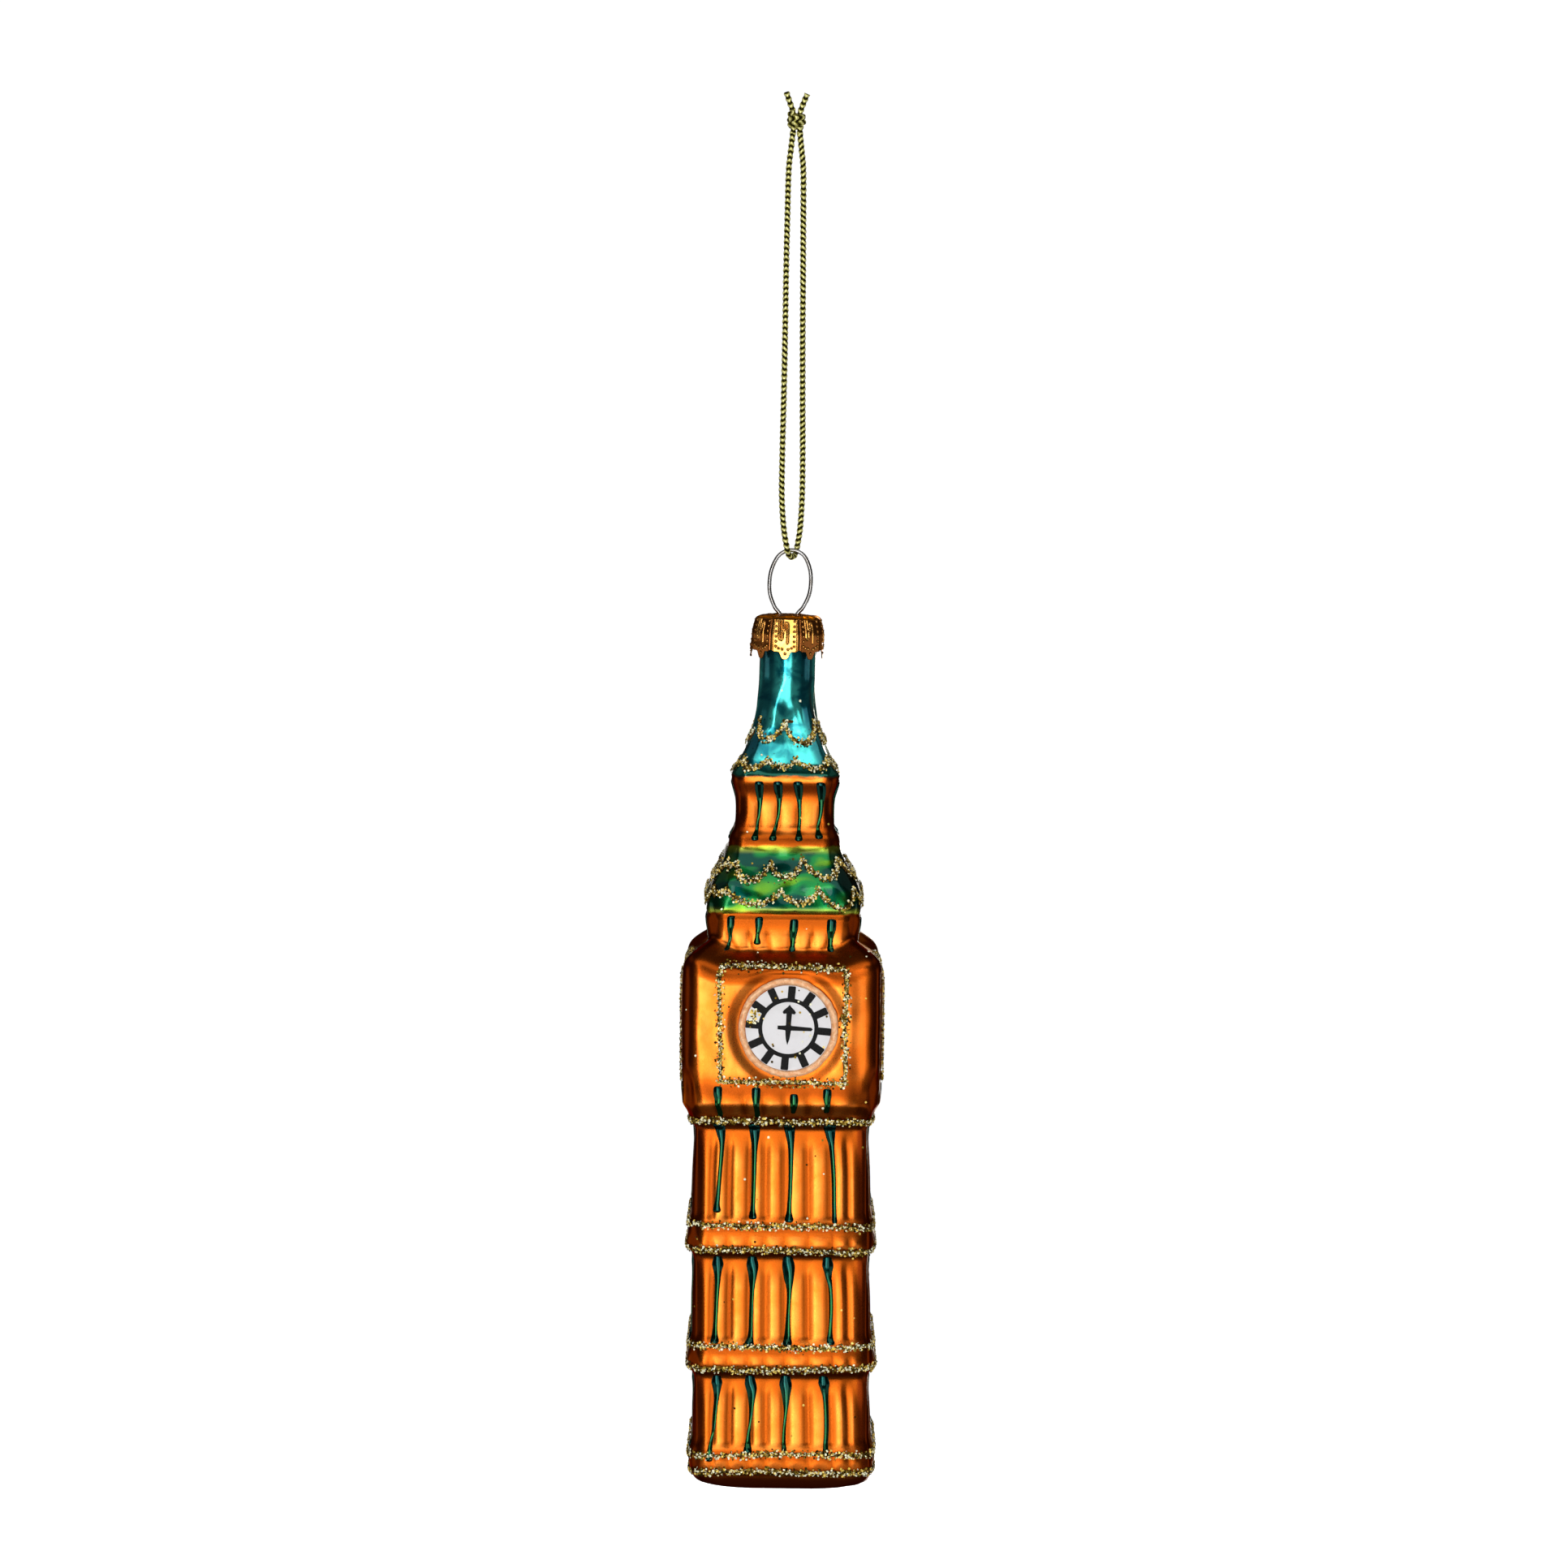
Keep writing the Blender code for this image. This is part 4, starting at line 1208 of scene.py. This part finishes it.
def copper_paint():
    paint = Paint("brushed_copper_paint", Metallic=0.2, Specular_IOR_Level=0.25)
    place = paint.place()
    strokes = paint.noise(place, 1.6, 4.0, 0.65, 0.6)
    fine = paint.noise(place, 6.0, 3.0)
    shade = paint.mix(paint.between(strokes, 0.35, 0.65), (0.86, 0.38, 0.16), (1.0, 0.62, 0.36))
    shade = paint.mix(paint.between(fine, 0.58, 0.75, 0.0, 0.6), shade, (0.95, 0.68, 0.45))
    normal = paint.bump(strokes, 0.12, 0.6)
    return paint.finish(Base_Color=shade, Roughness=paint.between(fine, 0.3, 0.7, 0.28, 0.5),
                        Normal=paint.bump(fine, 0.03, 0.5, normal))


def hand_outline(points):
    """A symmetrical hand from the right half of its outline, tip to tail."""
    return [(-x, z) for x, z in points] + [(x, z) for x, z in points[::-1] if x > 0.0]


def dial_print(rng):
    """The black shapes of a dial as outlines, each with how far it stands off the card."""
    r = DIAL_RADIUS
    shapes = [(band_outline(0.605 * r, 0.7 * r, angle, angle + 15.0), 0.03)
              for angle in range(0, 360, 15)]
    for hour in range(12):
        turn = math.radians(30.0 * hour + 2.0)
        inner, outer, half = 0.67 * r, (0.985 + rng.uniform(-0.012, 0.012)) * r, 0.085 * r
        bar = [(-half, inner), (half, inner), (half * 1.04, outer - 0.12), (half - 0.1, outer),
               (0.1 - half, outer), (-half * 1.04, outer - 0.12)]
        shapes.append(([(x * math.cos(turn) + z * math.sin(turn),
                         z * math.cos(turn) - x * math.sin(turn)) for x, z in bar][::-1], 0.034))
    spade = [(0.0, 0.55), (0.035, 0.5), (0.13, 0.41), (0.155, 0.365), (0.13, 0.325),
             (0.065, 0.335), (0.058, 0.1), (0.064, -0.08), (0.045, -0.25), (0.0, -0.4)]
    minute = [(-0.25, -0.042), (0.0, -0.058), (0.53, -0.04), (0.57, 0.0), (0.53, 0.04),
              (0.0, 0.058), (-0.25, 0.042)]
    hub = [(-0.13, 0.0), (0.0, -0.13), (0.13, 0.0), (0.0, 0.13)]
    for outline, thick in ((hand_outline(spade), 0.038), (minute, 0.042), (hub, 0.046)):
        shapes.append(([(x * r, z * r) for x, z in outline], thick))
    return shapes


def rim_parts(face):
    """The copper rim: a hand-painted ring whose width and height wander."""
    steps, ring = 160, 14
    points = []
    for step in range(steps):
        angle = math.tau * step / steps
        lump = ripple(*around(1.6, angle), 0.0, 2.0 + face)
        fine = ripple(*around(6.0, angle), 1.0, 4.0 + face)
        inner = 7.02 + 0.14 * lump + 0.08 * fine
        outer = 8.12 + 0.22 * ripple(*around(2.2, angle), 3.0, face) + 0.1 * fine
        for k in range(ring):
            out, up = around(0.5, math.tau * k / ring)
            radius = (inner + outer) / 2 + (outer - inner) * out
            rough = 0.05 * ripple(radius * 1.5, angle * 9.0, k * 0.4, 9.0)
            forward = 0.4 + (0.66 + 0.14 * lump) * up + rough
            x, z = around(radius, angle)
            points.append(Vector((x, -forward, z)))
    return points, loop_faces(steps, ring)


def build_clock(face, side, card, ink, copper):
    place = face_place(face, DIAL_SHIFT[face], DIAL_BASE, DIAL_Z)
    tilt = Matrix.Rotation(math.radians((3.0, -2.0, 4.0, 1.0)[face]), 4, "Y")
    points, faces = disc_parts([(DIAL_RADIUS - 0.1, 0.0), (DIAL_RADIUS, 0.08), (DIAL_RADIUS, 0.34),
                                (DIAL_RADIUS - 0.06, CARD_THICKNESS)], 72)
    dial = new_mesh("clock_card_" + side, [place @ p for p in points], faces, card)
    dial.data.set_sharp_from_angle(angle=math.radians(30))
    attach(dial, "glass")
    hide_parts("dial_" + side)

    pile = Pile()
    for outline, thick in dial_print(random.Random(80 + face)):
        points, faces = plate_parts(outline, CARD_THICKNESS - 0.02, CARD_THICKNESS + thick)
        pile.add([place @ tilt @ p for p in points], faces, [0.0] * len(points))
    print_piece = pile.make("clock_print_" + side, ink, "shade", smooth=False)
    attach(print_piece, "glass")

    points, faces = rim_parts(face)
    rim = new_mesh("clock_rim_" + side, [place @ p for p in points], faces, copper)
    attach(rim, "glass")
    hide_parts("dial_rim_" + side)


def build_clocks():
    card, ink, copper = dial_paint(), ink_paint(), copper_paint()
    for face, side in enumerate(SIDES):
        build_clock(face, side, card, ink, copper)


build_clocks()


def build_stray_glitter():
    """Loose flakes that have settled on the glass, and on the dials with a clump at one side."""
    rng = random.Random(5)
    pile = Pile()
    for _ in range(260):
        turn, z = rng.uniform(-0.5, 3.5), rng.uniform(-219.0, -90.0)
        normal = skin_normal(turn, z)
        add_flake(pile, skin(turn, z) + normal * 0.05, normal, rng, 0.85)
    for face in range(4):
        place = face_place(face, DIAL_SHIFT[face], DIAL_BASE + CARD_THICKNESS + 0.07, DIAL_Z)
        normal = Matrix.Rotation(QUARTER * face, 3, "Z") @ Vector((0, -1, 0))
        for flake in range(64):
            angle, reach = rng.uniform(0, math.tau), DIAL_RADIUS * math.sqrt(rng.random()) * 0.97
            if flake < 42:
                angle = math.radians(rng.gauss(163.0, 6.0))
                reach = rng.gauss(0.86, 0.06) * DIAL_RADIUS
            x, z = around(reach, angle)
            add_flake(pile, place @ Vector((x, 0.0, z)), normal, rng, 0.8)
    strays = pile.make("stray_glitter", FLAKES, "tone_and_glint", smooth=False)
    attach(strays, "glass")


build_stray_glitter()

# ---------------------------------------------------------------- stamped cap

TAB_RIDGES = [
    [(-0.98, -0.5), (-0.98, -3.3), (-0.85, -3.65), (-0.6, -3.7), (-0.42, -3.4), (-0.42, -2.6)],
    [(0.42, -4.3), (0.42, -1.4), (0.3, -1.05), (0.08, -1.0), (-0.06, -1.25), (-0.06, -1.9),
     (-0.2, -2.15), (-0.42, -2.1), (-0.5, -1.8), (-0.5, -0.6)],
]
TAB_DOTS = [(side * 1.5, -0.75 - 0.82 * row) for side in (-1, 1) for row in range(6)] + \
    [(-1.05, -5.15), (-0.45, -5.3), (0.55, -5.35), (1.1, -5.1), (0.05, -6.05)]
RIDGE_WIDTH = 0.15
CAP_TURN_DEG = -4.5
TABS, TAB_COLUMNS, TAB_ROWS = 8, 56, 60
TAB_HALF_DEG = 22.5
BENT_TABS = (5, 6)
TIN = 0.16
PLATE_ROWS, PLATE_TOP, PLATE_SHADE = 16, 0.18, 0.75


def segment_distance(x, z, a, b):
    dx, dz = b[0] - a[0], b[1] - a[1]
    share = ((x - a[0]) * dx + (z - a[1]) * dz) / (dx * dx + dz * dz)
    share = min(1.0, max(0.0, share))
    return math.hypot(x - a[0] - dx * share, z - a[1] - dz * share)


def stamping(x, drop):
    """Height of the embossed pattern at a place on a tab, and how far the place is in its shade."""
    reaches = [segment_distance(x, -drop, a, b)
               for ridge in TAB_RIDGES for a, b in zip(ridge, ridge[1:])]
    reaches += [math.hypot(x - dot[0], -drop - dot[1]) for dot in TAB_DOTS]
    reach = min(reaches)
    height = 0.2 * math.exp(-(reach / RIDGE_WIDTH) ** 4)
    return height, math.exp(-((reach - 2.1 * RIDGE_WIDTH) / (0.7 * RIDGE_WIDTH)) ** 2)


def gold_paint():
    """Thin brass-coloured tin, with painted shade on its folds, stamping, side tabs and plate."""
    paint = Paint("stamped_gold_tin", Metallic=1.0, Specular_Tint=(0.8, 0.45, 0.2))
    place = paint.place()
    cloud = paint.noise(place, 0.7, 3.0)
    fine = paint.noise(place, 5.0, 3.0)
    shade = paint.mix(paint.between(cloud, 0.35, 0.7), (1.0, 0.5, 0.12), (0.86, 0.37, 0.07))
    # Painted shade, read from the points, darkens the tin.
    shade = paint.mix(paint.between(paint.stored("painted_tin_shade"), 0.1, 0.9), shade, (0.3, 0.09, 0.02))
    return paint.finish(Base_Color=shade, Roughness=paint.between(fine, 0.3, 0.7, 0.16, 0.24))


def tab_places():
    """Round the crown: each tab with the degrees from its middle, and the angle from the x axis."""
    for tab in range(TABS):
        for step in range(TAB_COLUMNS):
            offset = TAB_HALF_DEG * (2.0 * step / TAB_COLUMNS - 1.0)
            yield tab, offset, math.radians(CAP_TURN_DEG - 90.0 + 2 * TAB_HALF_DEG * tab + offset)


def tab_row(share, inset):
    """A ring of the tabs, from their fold at share 0 to their lobed edge at 1."""
    for tab, offset, angle in tab_places():
        off_middle = abs(offset) / TAB_HALF_DEG
        lobe = 1.25 * math.exp(-(off_middle / 0.33) ** 4) + 0.25 * ease(0.95, 0.75, off_middle)
        drop = 0.55 + share * (4.95 + lobe)
        flare = (5.25 + 0.55 * ease(0.0, 3.2, drop)
                 + 0.12 * ripple(tab * 2.1, drop * 0.5, 3.0) * ease(2.0, 6.0, drop))
        fold = ease(0.8, 1.0, off_middle)
        x = flare * math.tan(math.radians(offset))
        height, shade = stamping(x, drop)
        out = height * (1.0 - fold) - 0.16 * fold + 0.1 * bell(19.3, 0.9, abs(offset))
        if tab in BENT_TABS:
            out += 0.55 * ease(3.0, 6.5, drop) * (0.6 + 0.4 * ripple(x, drop, 1.0))
        x, y = around((flare + out - inset) / math.cos(math.radians(offset) * 0.96), angle)
        # Painted shade: round the ridges on the front tab, over the other tabs but their ridges,
        # and at every fold.
        ground = 0.35 * shade if tab == 0 else 0.8 * (1.0 - 5.0 * height)
        yield Vector((x, y, -drop)), max(0.6 * fold, ground)


def plate_row(share, inset):
    """A ring of the crumpled plate, from its middle at share 0 to the fold at 1."""
    for tab, offset, angle in tab_places():
        corner = 1.0 / math.cos(math.radians(offset) * 0.9 * share)
        x, y = around((0.2 + 5.02 * share) * corner - inset * 0.6, angle)
        creases = 0.16 * abs(ripple(x * 0.5, y * 0.5, 0.0, 5.0)) \
            + 0.1 * ripple(x * 1.3, y * 1.3, 2.0, 3.0)
        z = PLATE_TOP - 0.42 * share ** 4 - creases * ease(0.05, 0.3, share) - inset
        yield Vector((x, y, z - 0.1 * (share > 0.94))), PLATE_SHADE


def build_cap():
    """A crown of eight flat tabs pressed round the neck, with a domed and crumpled plate."""
    tilt = (Matrix.Translation((bow(CAP_TOP_Z), 0.0, CAP_TOP_Z))
            @ Matrix.Rotation(math.radians(2.2), 4, "X")
            @ Matrix.Rotation(math.radians(1.0), 4, "Y"))
    rows = [(plate_row, k / (PLATE_ROWS - 1)) for k in range(PLATE_ROWS)]
    rows += [(tab_row, k / (TAB_ROWS - 1)) for k in range(TAB_ROWS)]
    parts = [part for row, share in rows for part in row(share, 0.0)]
    parts += [part for row, share in rows[::-1] for part in row(share, TIN)]
    columns, last = TABS * TAB_COLUMNS, len(parts)
    parts += [(Vector((0.0, 0.0, z)), PLATE_SHADE) for z in (PLATE_TOP, PLATE_TOP - TIN)]
    faces = ring_faces(2 * len(rows), columns) + fan_faces(0, last, columns)
    faces += fan_faces(last - columns, last + 1, columns, flipped=True)
    cap = new_mesh("stamped_cap", [tilt @ point for point, painted_tin_shade in parts], faces, gold_paint())
    add_values(cap, "painted_tin_shade", [painted_tin_shade for point, painted_tin_shade in parts])
    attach(cap, "cap")
    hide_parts("cap")


build_cap()
